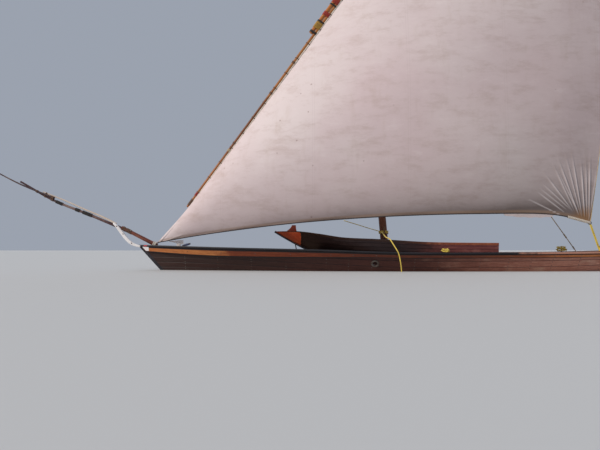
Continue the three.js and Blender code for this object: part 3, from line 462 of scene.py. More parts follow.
def timber(name, dark, light, grain_mm, along, roughness, weathered=None, weather_share=0.35, dark_marks=None,
           bump_mm=0.5, tone_spread=0.35, by_length=None):
    """Sawn or scraped wood: growth rings drawn out along the piece, open pores, and boards that differ.

    Rings are four grains apart, pores one, and both are drawn out 14 times; weathered patches are 450 mm.
    """
    material, tree, shader = new_material(name, roughness, Specular_IOR_Level=0.4)
    if along == "surface":
        place = node(tree, "ShaderNodeUVMap", uv_map="surface")
        squeeze = Vector((1, DRAWN_OUT, 1))
    else:
        place = node(tree, "ShaderNodeTexCoord", give="Object")
        squeeze = Vector([DRAWN_OUT if axis == along else 1 for axis in "XYZ"])
    tone = node(tree, "ShaderNodeAttribute", attribute_name="tone", give="Fac")
    each = node(tree, MATH, {0: tone, 1: 37.0}, operation="MULTIPLY")
    drawn = node(tree, "ShaderNodeMapping", {"Vector": place, "Scale": squeeze})
    growth = {"Scale": 1000 / (4 * grain_mm), "Detail": 6, "Roughness": 0.62, "Distortion": 1.2}
    rings = node(tree, NOISE, {"Vector": drawn, "W": each, **growth}, noise_dimensions="4D")
    pores = node(tree, NOISE, {"Vector": drawn, "Scale": 1000 / grain_mm, "Detail": 2})
    patches = node(
        tree, NOISE, {"Vector": place, "W": each, "Scale": 2.2, "Detail": 5, "Roughness": 0.65},
        noise_dimensions="4D",
    )
    late = node(tree, RAMP, {0: rings}, stops=[(0.30, 0.0), (0.68, 1.0)])
    wood = node(tree, MIX, {0: late, 6: dark, 7: light}, **RGBA)
    opened = node(tree, RAMP, {0: pores}, stops=[(0.30, 0.75), (0.45, 0.0)])
    wood = node(tree, MIX, {0: opened, 6: wood, 7: dark}, **RGBA)
    if weathered:
        low, high = 0.62 - weather_share * 0.5, 0.74 - weather_share * 0.3
        dried = node(tree, RAMP, {0: patches}, stops=[(low, 0.0), (high, 0.85)])
        wood = node(tree, MIX, {0: dried, 6: wood, 7: weathered}, **RGBA)
    # A colour by place along the boat multiplies the wood; on the planks, rails and wash strakes it is wholly
    # or partly painted shade and painted sunlight.
    if by_length:
        hull_place = node(tree, "ShaderNodeTexCoord", give="Object")
        x = node(tree, "ShaderNodeSeparateXYZ", {0: hull_place}, give="X")
        share = node(tree, "ShaderNodeMapRange", {"Value": x, **LENGTH_ENDS})
        ragged = node(tree, MATH, {0: patches, 1: 0.22, 2: -0.11}, operation="MULTIPLY_ADD")
        share = node(tree, MATH, {0: share, 1: ragged})
        shade = node(tree, RAMP, {0: share}, stops=by_length)
        wood = node(tree, MIX, {0: 1.0, 6: wood, 7: shade}, blend_type="MULTIPLY", **RGBA)
    lots = node(tree, "ShaderNodeTexWhiteNoise", {"W": tone}, noise_dimensions="1D", give="Value")
    board = node(tree, RAMP, {0: lots}, stops=[(0.0, 1 - tone_spread), (1.0, 1.0)])
    wood = node(tree, MIX, {0: 1.0, 6: wood, 7: board}, blend_type="MULTIPLY", **RGBA)
    if dark_marks:
        mark = node(tree, "ShaderNodeAttribute", attribute_name="mark", give="Fac")
        wood = node(tree, MIX, {0: mark, 6: wood, 7: dark_marks}, **RGBA)
    tree.links.new(wood, shader.inputs["Base Color"])
    spread = {"From Min": 0.3, "From Max": 0.7, "To Min": roughness - 0.10, "To Max": roughness + 0.14}
    sheen = node(tree, "ShaderNodeMapRange", {"Value": patches, **spread})
    tree.links.new(sheen, shader.inputs["Roughness"])
    height = node(tree, MATH, {0: rings, 1: pores}, operation="ADD")
    bump = node(tree, "ShaderNodeBump", {"Height": height, "Strength": 0.7, "Distance": bump_mm / 1000})
    tree.links.new(bump, shader.inputs["Normal"])
    return material


# Oiled mahogany-like hardwood, adzed and scraped: dull satin, dark seams, dark at the bow and pale towards
# the stern, partly its own tone and partly painted shade and painted sunlight
planking_wood = timber(
    "oiled_red_hardwood_planks", "#A8604E", "#ECB49E", 3.5,
    "surface", 0.52, weathered="#E0BCA6", weather_share=0.16,
    dark_marks="#0D0705", bump_mm=0.8,
    by_length=[
        (0.0, "#4C4444"), (0.20, "#504546"), (0.42, "#6C5250"), (0.55, "#7A5F5A"),
        (0.66, "#CCB8B0"), (0.80, "#FFF6EE"), (1.0, "#FFFFFF"),
    ],
)


def hull_plank_rings(index, way):
    """Sections of one plank from stem to transom: chamfered seams outside, flat inside."""
    rings = []
    for s in HULL_STATIONS:
        girth = girth_levels(s)
        side = girth[1][-1]
        low, high = side * index / PLANKS_A_SIDE, side * (index + 1) / PLANKS_A_SIDE
        bevel = min(SEAM_HALF, (high - low) / 4)
        outer = [
            (low, -SEAM_DEPTH), (low + bevel, 0), (low + (high - low) / 3, 0), (high - (high - low) / 3, 0),
            (high - bevel, 0), (high, -SEAM_DEPTH),
        ]
        inner = [(high, -PLANK), ((low + high) / 2, -PLANK), (low, -PLANK)]
        ring = [hull_offset(s, level_at(girth, far), depth) for far, depth in outer + inner]
        rings.append(on_side(ring, way))
    return rings


SCUPPER = {"x": -0.357, "z": 0.112, "hole_r": 0.034, "ring_r": 0.058, "thick": 0.012}


def cut_through(target, cutter):
    """Cuts one object's shape out of another and keeps the result as a plain mesh."""
    knife = target.modifiers.new("cut", "BOOLEAN")
    knife.object = cutter
    knife.operation = "DIFFERENCE"
    knife.solver = "EXACT"
    bpy.context.view_layer.update()
    result = bpy.data.meshes.new_from_object(target.evaluated_get(bpy.context.evaluated_depsgraph_get()))
    target.modifiers.remove(knife)
    target.data = result
    bpy.data.objects.remove(cutter)


def drill(way):
    """Round cutter through the side at the drain hole, square to the planks."""
    middle = Vector((SCUPPER["x"], breadth_at(SCUPPER["x"], SCUPPER["z"], 0), SCUPPER["z"]))
    lean = Vector((
        breadth_at(SCUPPER["x"] - 0.02, SCUPPER["z"], 0) - breadth_at(SCUPPER["x"] + 0.02, SCUPPER["z"], 0),
        0.04,
        breadth_at(SCUPPER["x"], SCUPPER["z"] - 0.02, 0) - breadth_at(SCUPPER["x"], SCUPPER["z"] + 0.02, 0),
    )).normalized()
    middle, lean = on_side([middle, lean], way)
    shape = bmesh.new()
    turn = Vector((0, 0, 1)).rotation_difference(lean).to_matrix().to_4x4()
    bmesh.ops.create_cone(
        shape, cap_ends=True, segments=28, radius1=SCUPPER["hole_r"], radius2=SCUPPER["hole_r"], depth=0.18,
        matrix=Matrix.Translation(middle) @ turn,
    )
    mesh = bpy.data.meshes.new("drill")
    shape.to_mesh(mesh)
    shape.free()
    cutter = bpy.data.objects.new("drill", mesh)
    bpy.context.scene.collection.objects.link(cutter)
    return cutter


for side, way in SIDES:
    shape = new_shape()
    for index in range(PLANKS_A_SIDE):
        dark_seams = [1, 0, 0, 0, 0, 1, 0, 0, 0]
        loft(shape, hull_plank_rings(index, way), tone=index + (20 if way < 0 else 0), marks=dark_seams)
    covered = [f"{part}_planking_{side}" for part in ("bottom", "bow", "side")]
    planks = piece(shape, f"planks_{side}", planking_wood, "hull", covered, 30)
    cut_through(planks, drill(way))


# Backbone: a straight keel, a raked stem whose head stands above the rails, and a sternpost behind
# the transom. Each is one heavy sawn timber, bolted to the next; the stem is painted black.
def eased(name, cad_name, material, body, width, segments=2):
    """Merged copy of a CAD timber with its arrises taken off, which replaces the timber."""
    shape = bmesh.new()
    shape.from_mesh(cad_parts[cad_name].data)
    for layer in list(shape.loops.layers.uv.values()):
        shape.loops.layers.uv.remove(layer)
    bmesh.ops.remove_doubles(shape, verts=shape.verts, dist=1e-5)
    bmesh.ops.dissolve_limit(
        shape, angle_limit=math.radians(1.5), use_dissolve_boundaries=False,
        verts=shape.verts, edges=shape.edges,
    )
    sharp = [e for e in shape.edges if e.is_manifold and e.calc_face_angle(0) > math.radians(24)]
    bmesh.ops.bevel(
        shape, geom=sharp, offset=width, segments=segments, affect="EDGES", profile=0.5, clamp_overlap=True,
    )
    bmesh.ops.triangulate(shape, faces=[f for f in shape.faces if len(f.verts) > 4])
    shape.loops.layers.uv.new("surface")
    return piece(shape, name, material, body, [cad_name], 40)


# Heavy rough-sawn timber, oiled and soaked: coarse grain along its length, nearly black in the hollows
backbone_wood = timber(
    "rough_sawn_keel_timber", "#2B1710", "#6A4330", 5.0, "X", 0.68,
    weathered="#7A5C46", weather_share=0.30, bump_mm=1.2,
)


def worn_paint(name, colour, faded, under, roughness, chips=0.35, dirt="#2A201A", bare_from=None):
    """Brushed oil paint on wood: faded in patches, chipped to the wood at edges, grimy in the low places.

    Patches are 140 mm across, flecks 18 mm, and brush marks 6 mm wide and 70 mm long.
    """
    material, tree, shader = new_material(name, roughness, Coat_Weight=0.12, Coat_Roughness=0.35)
    place = node(tree, "ShaderNodeTexCoord", give="Object")
    patches = node(tree, NOISE, {"Vector": place, "Scale": 7.0, "Detail": 6, "Roughness": 0.6})
    flecks = node(tree, NOISE, {"Vector": place, "Scale": 55, "Detail": 4, "Roughness": 0.7})
    drawn = node(tree, "ShaderNodeMapping", {"Vector": place, "Scale": (14, 160, 160)})
    brush = node(tree, NOISE, {"Vector": drawn, "Scale": 1, "Detail": 2})
    bulge = node(tree, "ShaderNodeNewGeometry", give="Pointiness")
    fading = node(tree, RAMP, {0: patches}, stops=[(0.42, 0.0), (0.66, 1.0)])
    coat = node(tree, MIX, {0: fading, 6: colour, 7: faded}, **RGBA)
    grime = node(tree, RAMP, {0: flecks}, stops=[(0.52, 0.0), (0.72, 0.55)])
    coat = node(tree, MIX, {0: grime, 6: coat, 7: dirt}, **RGBA)
    edge = node(tree, RAMP, {0: bulge}, stops=[(0.515, 0.0), (0.56, 1.0)])
    worn = node(tree, MATH, {0: edge, 1: flecks}, operation="MULTIPLY")
    rubbed = node(tree, MATH, {0: flecks, 1: patches}, operation="MULTIPLY")
    bare = node(tree, MATH, {0: worn, 1: rubbed}, operation="MAXIMUM")
    gone = node(tree, RAMP, {0: bare}, stops=[(0.52 - chips * 0.5, 0.0), (0.56 - chips * 0.5, 1.0)])
    if bare_from is not None:
        x = node(tree, "ShaderNodeSeparateXYZ", {0: place}, give="X")
        ragged = node(tree, MATH, {0: patches, 1: 1.6, 2: x}, operation="MULTIPLY_ADD")
        reach = {"From Min": bare_from + 0.6, "From Max": bare_from + 1.0}
        far = node(tree, "ShaderNodeMapRange", {"Value": ragged, **reach})
        gone = node(tree, MATH, {0: gone, 1: far}, operation="MAXIMUM")
    tree.links.new(node(tree, MIX, {0: gone, 6: coat, 7: under}, **RGBA), shader.inputs["Base Color"])
    spread = {"To Min": roughness - 0.12, "To Max": roughness + 0.16}
    dull = node(tree, "ShaderNodeMapRange", {"Value": patches, **spread})
    tree.links.new(dull, shader.inputs["Roughness"])
    height = node(tree, MATH, {0: gone, 1: -0.7, 2: brush}, operation="MULTIPLY_ADD")
    bump = node(tree, "ShaderNodeBump", {"Height": height, "Strength": 0.6, "Distance": 0.0006})
    tree.links.new(bump, shader.inputs["Normal"])
    return material


# Thick black boat paint, dulled by salt: brown wood shows where ropes and hands have rubbed it
black_paint = worn_paint(
    "black_boat_paint", "#120E16", "#231D29", "#3E2A22", 0.48, chips=0.20, dirt="#0A070B",
)

eased("keel_timber", "keel", backbone_wood, "hull", 0.005)
eased("stem_timber", "stem", black_paint, "hull", 0.005)
eased("sternpost_timber", "sternpost", backbone_wood, "hull", 0.004)


# Transom: a raked board of four planks fastened across the ends of the side planking.
# It is oiled like the planking, with dark caulked seams from side to side.
TRANSOM_BOARD = 0.032
TRANSOM_PLANKS = 4
KEEL_STEP_Z = -0.310


def transom_rings(low, high, face):
    """Sections across one transom plank, from starboard to port."""
    rings = []
    reach = [hull_point(1, u) for u in stations(low, high, 4)]
    half = [p.y for p in reach]
    for k in range(-12, 13):
        share = k / 12
        ring = []
        for depth, rows in ((face, range(5)), (TRANSOM_BOARD, range(4, -1, -1))):
            for row in rows:
                p = reach[row]
                inset = 0.003 if row in (0, 4) and depth == TRANSOM_BOARD else 0.0
                ring.append(Vector((p.x + depth - inset, share * half[row], p.z)))
        rings.append(ring)
    return rings


transom_wood = timber(
    "oiled_transom_boards", "#4A2416", "#8E5230", 3.5, "surface",
    0.50, weathered="#9A7250", dark_marks="#0D0705",
)
transom_low = (KEEL_STEP_Z - RABBET_Z + 0.001) / (SHEER[-1][1] - RABBET_Z)
shape = new_shape()
for k in range(TRANSOM_PLANKS):
    ends = [transom_low + (1 - transom_low) * (k + step) / TRANSOM_PLANKS for step in (0, 1)]
    dark_seams = [0.3, 0, 0, 0, 0.3, 1, 0, 0, 0, 1]
    loft(shape, transom_rings(*ends, 0.0005), tone=k, marks=dark_seams)
piece(shape, "transom_boards", transom_wood, "hull", ["transom"], 30)


# Rails: a long varnished rubbing rail under the gunwale, deep at the bow and narrow aft, and a black
# cap rail on top of it. Both are bent along the sheer in one length and nailed to the frames.
RAIL_DEPTH = [
    (-3.764, 0.078), (-2.900, 0.114), (-1.900, 0.108), (-1.234, 0.094),
    (-0.372, 0.064), (0.900, 0.055), (3.705, 0.050),
]
TOUCH = 0.0003  # clearance between pieces that bear on each other
RAIL_THICK = 0.026
TAR_TOP, TAR_FOOT = 0.026, 0.016
RAIL_MARKS = [1] * 7 + [0] * 2 + [1] * 7
CAP_INSIDE, CAP_OUTSIDE, CAP_THICK = 0.058, 0.032, 0.026
RAIL_STATIONS = [k / 90 for k in range(91)]


def rounded(corners, radius, steps=3):
    """Outline with each corner turned to a small arc."""
    out = []
    for i, corner in enumerate(corners):
        here = Vector(corner)
        before, after = Vector(corners[i - 1]), Vector(corners[(i + 1) % len(corners)])
        reach = min(radius, (before - here).length / 2.2, (after - here).length / 2.2)
        start = here.lerp(before, reach / (before - here).length)
        end = here.lerp(after, reach / (after - here).length)
        for k in range(steps):
            t = k / (steps - 1)
            out.append(start.lerp(here, t).lerp(here.lerp(end, t), t))
    return out


def rail_rings(outline_at, way):
    """Sections along the sheer; the outline gives distance outside the planks and drop below the sheer."""
    rings = []
    for s in RAIL_STATIONS:
        top = table_value(SHEER, sheer_x(s))
        ring = []
        for distance, drop in outline_at(s):
            p = hull_offset(s, 1 - max(drop, 0) / (top - RABBET_Z), distance, True)
            p.z = top - drop
            ring.append(p)
        rings.append(on_side(ring, way))
    return rings


def rub_rail_outline(s):
    """Outline with close pairs of points on its face, where the tarred edges begin."""
    depth = table_value(RAIL_DEPTH, sheer_x(s))
    outline = rounded([(TOUCH, 0.002), (RAIL_THICK, 0.002), (RAIL_THICK, depth), (TOUCH, depth)], 0.009)
    top = TAR_TOP * depth / RAIL_DEPTH[1][1]
    foot = depth - TAR_FOOT * depth / RAIL_DEPTH[1][1]
    return outline[:6] + [(RAIL_THICK, drop) for drop in (top, top + 0.003, foot - 0.003, foot)] + outline[6:]


def cap_rail_outline(s):
    top, foot = -CAP_THICK, -TOUCH
    return rounded([(-CAP_INSIDE, foot), (-CAP_INSIDE, top), (CAP_OUTSIDE, top), (CAP_OUTSIDE, foot)], 0.008)


# Golden hardwood under old yellowed varnish, with a band of tar along each edge: bright at the bow and aft,
# and between them painted darker red-brown as shade
varnished_rail = timber(
    "varnished_golden_rail", "#A05A2C", "#DA9A5C", 4.0, "surface",
    0.34, weathered="#A8643C", weather_share=0.20,
    dark_marks="#1A0F12", bump_mm=0.3, tone_spread=0.1,
    by_length=[
        (0.0, "#FFE8D8"), (0.145, "#FFF4EC"), (0.180, "#AE7E74"), (0.30, "#A07068"), (0.44, "#86605C"),
        (0.62, "#8A6868"), (0.76, "#C0A09C"), (0.84, "#FFECE4"), (1.0, "#FFF0E8"),
    ],
)
# The cap's black paint, walked and rubbed down to pinkish bare wood beside the cockpit
cap_paint = worn_paint(
    "black_cap_rail_paint", "#0C0910", "#1A151D", "#B4806A",
    0.60, chips=-0.20, dirt="#0A070B", bare_from=1.75,
)
for side, way in SIDES:
    shape = new_shape()
    loft(shape, rail_rings(rub_rail_outline, way), tone=3 + way, marks=RAIL_MARKS)
    piece(shape, f"rubbing_rail_{side}", varnished_rail, "hull", [f"rub_rail_{side}"], 50)
    shape = new_shape()
    loft(shape, rail_rings(cap_rail_outline, way), tone=5 + way)
    piece(shape, f"capping_rail_{side}", cap_paint, "hull", [f"cap_rail_{side}"], 50)


# Fastenings: square-cut iron nails with beaten round heads, in rows up the planks at each frame and
# along the rails. They are set flush and weep a little rust.
FRAME_X = [
    -3.1, -2.6, -2.1, -1.6, -1.03, -0.72, -0.40, 0.19, 0.52, 1.10, 1.50, 1.82, 2.13, 2.53, 2.85, 3.2, 3.5,
]
NAIL_R, NAIL_PROUD = 0.007, 0.0006
NAIL_PLACES = (0.22, 0.78)  # across each plank


def forged_iron(name, clean, rust, roughness=0.55):
    """Forged iron gone dull grey, with orange rust in pits of 11 mm and in blooms of 70 mm."""
    material, tree, shader = new_material(name, roughness, Metallic=0.75)
    place = node(tree, "ShaderNodeTexCoord", give="Object")
    pits = node(tree, NOISE, {"Vector": place, "Scale": 90, "Detail": 6, "Roughness": 0.7})
    bloom = node(tree, NOISE, {"Vector": place, "Scale": 14, "Detail": 4})
    both = node(tree, MATH, {0: pits, 1: bloom}, operation="MULTIPLY")
    rusty = node(tree, RAMP, {0: both}, stops=[(0.22, 0.0), (0.34, 1.0)])
    tree.links.new(node(tree, MIX, {0: rusty, 6: clean, 7: rust}, **RGBA), shader.inputs["Base Color"])
    for socket, bare, rusted in (("Metallic", 0.75, 0.05), ("Roughness", roughness, 0.9)):
        level = node(tree, RAMP, {0: rusty}, stops=[(0.0, bare), (1.0, rusted)])
        tree.links.new(level, shader.inputs[socket])
    bump = node(tree, "ShaderNodeBump", {"Height": pits, "Strength": 0.6, "Distance": 0.0008})
    tree.links.new(bump, shader.inputs["Normal"])
    return material


rusty_iron = forged_iron("forged_nail_iron", "#6E6A66", "#5A3420")


def heads_tree():
    """Node group that sets a low domed head on every point, square to its normal attribute."""
    tree = bpy.data.node_groups.new("nail_heads", "GeometryNodeTree")
    for name, kind, flow in (
        ("Places", "NodeSocketGeometry", "INPUT"), ("Head radius", "NodeSocketFloat", "INPUT"),
        ("Head height", "NodeSocketFloat", "INPUT"), ("Metal", "NodeSocketMaterial", "INPUT"),
        ("Heads", "NodeSocketGeometry", "OUTPUT"),
    ):
        tree.interface.new_socket(name, in_out=flow, socket_type=kind)
    given = tree.nodes.new("NodeGroupInput")
    radius, height = given.outputs["Head radius"], given.outputs["Head height"]
    rim = node(tree, MATH, {0: radius, 1: 0.62}, operation="MULTIPLY")
    head = node(
        tree, "GeometryNodeMeshCone",
        {"Vertices": 10, "Radius Top": rim, "Radius Bottom": radius, "Depth": height},
    )
    facing = node(tree, "GeometryNodeInputNamedAttribute", {"Name": "facing"}, data_type="FLOAT_VECTOR")
    turned = node(tree, "FunctionNodeAlignRotationToVector", {"Vector": facing}, axis="Z")
    placed = node(
        tree, "GeometryNodeInstanceOnPoints",
        {"Points": given.outputs["Places"], "Instance": head, "Rotation": turned},
    )
    real = node(tree, "GeometryNodeRealizeInstances", {"Geometry": placed})
    dressed = node(
        tree, "GeometryNodeSetMaterial", {"Geometry": real, "Material": given.outputs["Metal"]},
    )
    tree.links.new(dressed, tree.nodes.new("NodeGroupOutput").inputs[0])
    return tree


def scattered(name, tree, places, settings, body, attributes=()):
    """Runs a node group on points and keeps the result as a plain mesh on its body."""
    mesh = bpy.data.meshes.new(name)
    mesh.from_pydata([p[0] for p in places], [], [])
    columns = [("facing", "FLOAT_VECTOR"), *attributes]
    for column, (label, kind) in enumerate(columns, start=1):
        layer = mesh.attributes.new(label, kind, "POINT")
        for point, place in zip(layer.data, places):
            if kind == "FLOAT_VECTOR":
                point.vector = place[column]
            else:
                point.value = place[column]
    made = bpy.data.objects.new(name, mesh)
    bpy.context.scene.collection.objects.link(made)
    maker = made.modifiers.new("maker", "NODES")
    maker.node_group = tree
    for item in tree.interface.items_tree:
        if item.in_out == "INPUT" and item.name in settings:
            maker[item.identifier] = settings[item.name]
    bpy.context.view_layer.update()
    result = bpy.data.meshes.new_from_object(made.evaluated_get(bpy.context.evaluated_depsgraph_get()))
    made.modifiers.remove(maker)
    made.data = result
    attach(made, body)
    return made


def side_nails(way):
    """Two nails through each plank at each frame, below the rubbing rail, and one through the rail."""
    places = []
    for x in FRAME_X:
        for index in range(PLANKS_A_SIDE):
            for share in NAIL_PLACES:
                s = (x - STEM_FOOT_X) / (TRANSOM_FOOT_X - STEM_FOOT_X)
                for _ in range(3):
                    girth = girth_levels(min(max(s, 0.0), 1.0))
                    far = girth[1][-1] * (index + share) / PLANKS_A_SIDE
                    u = level_at(girth, far)
                    z = hull_point(min(max(s, 0.0), 1.0), u).z
                    front, back = hull_ends(z)
                    s = (x - front) / (back - front)
                if not 0.01 < s < 0.99:
                    continue
                top = table_value(SHEER, sheer_x(s))
                if top - z < table_value(RAIL_DEPTH, sheer_x(s)) + 0.015:
                    continue
                face, beyond = hull_offset(s, u, NAIL_PROUD), hull_offset(s, u, 0.01)
                if face.y < CENTRE_HALF + 0.02:
                    continue
                facing = (beyond - face).normalized()
                places.append(on_side([face, facing], way))
        s = (x - SHEER[0][0]) / (SHEER[-1][0] - SHEER[0][0])
        depth = table_value(RAIL_DEPTH, x)
        level = 1 - 0.5 * depth / (table_value(SHEER, x) - RABBET_Z)
        face = hull_offset(s, level, RAIL_THICK + NAIL_PROUD, True)
        facing = (hull_offset(s, level, RAIL_THICK + 0.02, True) - face).normalized()
        places.append(on_side([face, facing], way))
    return places


nail_heads = heads_tree()
for side, way in SIDES:
    scattered(
        f"plank_nails_{side}", nail_heads, side_nails(way),
        {"Head radius": NAIL_R, "Head height": 0.0022, "Metal": rusty_iron}, "hull",
    )


# Decks: narrow bare boards laid fore and aft on the beams, with open seams. They form a closed foredeck
# and stern deck, a bridge between the waist and the cockpit, and side decks round both openings.
DECK_DROP, DECK_THICK = 0.008, 0.022
DECK_WIDTH, DECK_GAP = 0.098, 0.004
DECK_ROWS, DECK_STEP, NARROWEST_BOARD = 9, 0.10, 0.012
WAIST = (-1.160, 1.440)
COCKPIT = (1.640, 3.020)
DECK_ENDS = (-3.680, 3.640)
SIDE_DECK, COCKPIT_SIDE = 0.150, 0.095

# Unpainted boards silvered by sun and trodden brown: grey-brown, very dry, wide open grain
bare_boards = timber(
    "bare_trodden_deck_boards", "#5E4632", "#A88A6C", 3.0, "X", 0.80, weathered="#B4A590", weather_share=0.45,
    bump_mm=0.7, tone_spread=0.30,
)


def deck_limit(x):
    z = table_value(SHEER, x) - DECK_DROP - DECK_THICK
    return breadth_at(x, z, PLANK + 0.0006)


def board_ring(x, low, high, arris, way=1):
    """Section of a deck board at a place along the boat, between two distances from the middle."""
    top = table_value(SHEER, x) - DECK_DROP
    flat = rounded([(low, 0), (high, 0), (high, -DECK_THICK), (low, -DECK_THICK)], arris, 2)
    return [Vector((x, way * y, top + z)) for y, z in flat]


def deck_boards(shape, front, back):
    """Boards side by side between two places along the boat, cut off along the planking."""
    tone = 0
    for row in range(-DECK_ROWS, DECK_ROWS + 1):
        low0, high0 = (row - 0.5) * DECK_WIDTH, (row + 0.5) * DECK_WIDTH - DECK_GAP
        rings = []
        for x in stations(front, back, max(round((back - front) / DECK_STEP), 4)):
            edge = deck_limit(x)
            low, high = max(low0, -edge), min(high0, edge)
            if high - low > NARROWEST_BOARD:
                rings.append(board_ring(x, low, high, 0.0025))
            elif len(rings) > 1:
                break
            else:
                rings = []
        if len(rings) > 1:
            tone += 1
            loft(shape, rings, tone=tone)


for name, front, back in (
    ("foredeck", DECK_ENDS[0], WAIST[0]), ("bridge_deck", WAIST[1], COCKPIT[0]),
    ("stern_deck", COCKPIT[1], DECK_ENDS[1]),
):
    shape = new_shape()
    deck_boards(shape, front, back)
    piece(shape, f"{name}_boards", bare_boards, "hull", [name], 40)

for name, (front, back), width in (("side_deck", WAIST, SIDE_DECK), ("cockpit_deck", COCKPIT, COCKPIT_SIDE)):
    for side, way in SIDES:
        shape = new_shape()
        halves = ((0.0, 0.5), (0.5, 1.0)) if name == "side_deck" else ((0.0, 1.0),)
        for tone, (near, far) in enumerate(halves):
            rings = []
            for x in stations(front, back, round((back - front) / DECK_STEP)):
                outer = deck_limit(x)
                low, high = outer - width * (1 - near), outer - width * (1 - far)
                if far < 1.0:
                    high -= DECK_GAP
                rings.append(board_ring(x, low, high, 0.003, way))
            loft(shape, rings, tone=tone + 2 * way + 11)
        piece(shape, f"{name}_boards_{side}", bare_boards, "hull", [f"{name}_{side}"], 40)


# Inside: bent ribs tied by a stringer on each side, floor timbers on the keelson, loose bottom boards,
# and three thwarts. All is rough-sawn hardwood, darkened by the bilge and never painted.
rib_wood = timber(
    "rough_frame_timber", "#4A3222", "#8A6446", 4.0, "Z", 0.80,
    weathered="#6A5A4A", weather_share=0.35, bump_mm=1.0,
)
keelson_wood = timber(
    "wet_keelson_timber", "#33231A", "#6E5240", 4.5, "X", 0.72,
    weathered="#4A4238", weather_share=0.35, bump_mm=1.0,
)
for side, way in SIDES:
    eased(f"ribs_{side}", f"frames_{side}", rib_wood, "hull", 0.003, 1)
eased("keelson_and_floors", "keelson", keelson_wood, "hull", 0.003, 1)

thwart_wood = timber(
    "worn_thwart_boards", "#6A4C34", "#B08E68", 3.0, "Y", 0.66,
    weathered="#8E6A48", weather_share=0.35, bump_mm=0.5,
)
for cad_name in ("mast_thwart", "middle_thwart", "helm_thwart"):
    eased(f"{cad_name}_board", cad_name, thwart_wood, "hull", 0.005)

BOTTOM_BOARD = {
    "low": -0.214, "high": -0.196, "half": 0.250, "front": -2.350, "back": 2.750, "count": 5, "gap": 0.010,
}
STEP_SLOT = {"front": -0.2153, "back": 0.0653, "half": 0.0703}


def bottom_board_rings(low, high, front, back):
    """Sections of one bottom board, narrowed where the ribs close in."""
    rings = []
    for x in stations(front, back, max(round((back - front) / 0.12), 2)):
        limit = breadth_at(x, BOTTOM_BOARD["low"], PLANK + 0.0412)
        y0, y1 = max(low, -limit), min(high, limit)
        if y1 - y0 < 0.015:
            if len(rings) > 1:
                break
            rings = []
            continue
        corners = [
            (y0, BOTTOM_BOARD["low"]), (y1, BOTTOM_BOARD["low"]),
            (y1, BOTTOM_BOARD["high"]), (y0, BOTTOM_BOARD["high"]),
        ]
        rings.append([Vector((x, y, z)) for y, z in rounded(corners, 0.003, 2)])
    return rings


shape = new_shape()
board = 2 * BOTTOM_BOARD["half"] / BOTTOM_BOARD["count"]
for k in range(BOTTOM_BOARD["count"]):
    low = -BOTTOM_BOARD["half"] + k * board
    high = low + board - BOTTOM_BOARD["gap"]
    crosses_step = low < STEP_SLOT["half"] and high > -STEP_SLOT["half"]
    runs = [(BOTTOM_BOARD["front"], BOTTOM_BOARD["back"])]
    if crosses_step:
        runs = [(BOTTOM_BOARD["front"], STEP_SLOT["front"]), (STEP_SLOT["back"], BOTTOM_BOARD["back"])]
    for front, back in runs:
        rings = bottom_board_rings(low, high, front, back)
        if len(rings) > 1:
            loft(shape, rings, tone=k + front)
piece(shape, "loose_bottom_boards", bare_boards, "hull", ["bottom_boards"], 40)


# Wash strakes: four lapped boards on each side of the open waist, which meet forward in a solid painted nose.
# The nose overhangs the foredeck on a black stem of its own, and carries a short hooked post.
STRAKE_STEM_X, STRAKE_OVERHANG, STRAKE_CURVE = -1.175, 0.603, 0.85
STRAKE_BACK, STRAKE_HALF, STRAKE_FLARE = 1.405, 0.612, 0.022
STRAKE_ENTRY, STRAKE_TAPER = 0.4, 0.06
NOSE_X = -1.380
STRAKE_TOP = [
    (-1.778, 0.581), (-1.400, 0.570), (-1.100, 0.528), (-0.790, 0.478),
    (-0.276, 0.453), (0.425, 0.412), (1.405, 0.400),
]
STRAKE_BOARDS, STRAKE_LAP = 4, 0.02
BOARD_THICK, BOARD_STEP, BOARD_ARRIS = 0.013, 0.006, 0.008
STRAKE_CAP_DEEP = 0.030


def strake_stem(v):
    return STRAKE_STEM_X - STRAKE_OVERHANG * v ** STRAKE_CURVE


def strake_level(x):
    """Lowest level at which the strakes reach this far forward."""
    return max((STRAKE_STEM_X - x) / STRAKE_OVERHANG, 0) ** (1 / STRAKE_CURVE)


def strake_point(x, v, inset=0.0):
    q = max((x - strake_stem(v)) / (STRAKE_BACK - strake_stem(v)), 0)
    if q < STRAKE_ENTRY:
        fill = (1 - (1 - q / STRAKE_ENTRY) ** 2) ** 0.85
    else:
        fill = 1 - STRAKE_TAPER * ((q - STRAKE_ENTRY) / (1 - STRAKE_ENTRY)) ** 2
    foot = min(table_value(SHEER, x), table_value(SHEER, STRAKE_STEM_X)) - DECK_DROP + TOUCH
    top = table_value(STRAKE_TOP, x)
    return Vector((x, max((STRAKE_HALF + STRAKE_FLARE * v) * fill - inset, 0), foot + (top - foot) * v))


def strake_rings(outline_at, way):
    """Sections along the wash strakes; the outline gives level and depth inside the outer face."""
    rings = []
    for x in stations(NOSE_X + TOUCH, STRAKE_BACK, 48):
        outline = outline_at(x)
        if outline:
            rings.append(on_side([strake_point(x, v, inset) for v, inset in outline], way))
    return rings


def lapped_board(index):
    def outline(x):
        low = max(index / STRAKE_BOARDS - (STRAKE_LAP if index else 0), strake_level(x) + 0.004)
        high = (index + 1) / STRAKE_BOARDS
        if high - low < 0.03:
            return None
        inner = BOARD_THICK + BOARD_STEP
        return [
            (low, 0.002), (low + BOARD_ARRIS, 0), (high - BOARD_ARRIS, BOARD_STEP),
            (high, BOARD_STEP + 0.002), (high, inner), (low, inner),
        ]

    return outline


def strake_cap(x):
    drop = STRAKE_CAP_DEEP / (table_value(STRAKE_TOP, x) - table_value(SHEER, x))
    return [
        (1 - drop, 0.0), (1.0 - 0.1 * drop, -0.001), (1.0, 0.003),
        (1.0, 0.019), (1 - 0.1 * drop, 0.022), (1 - drop, 0.022),
    ]
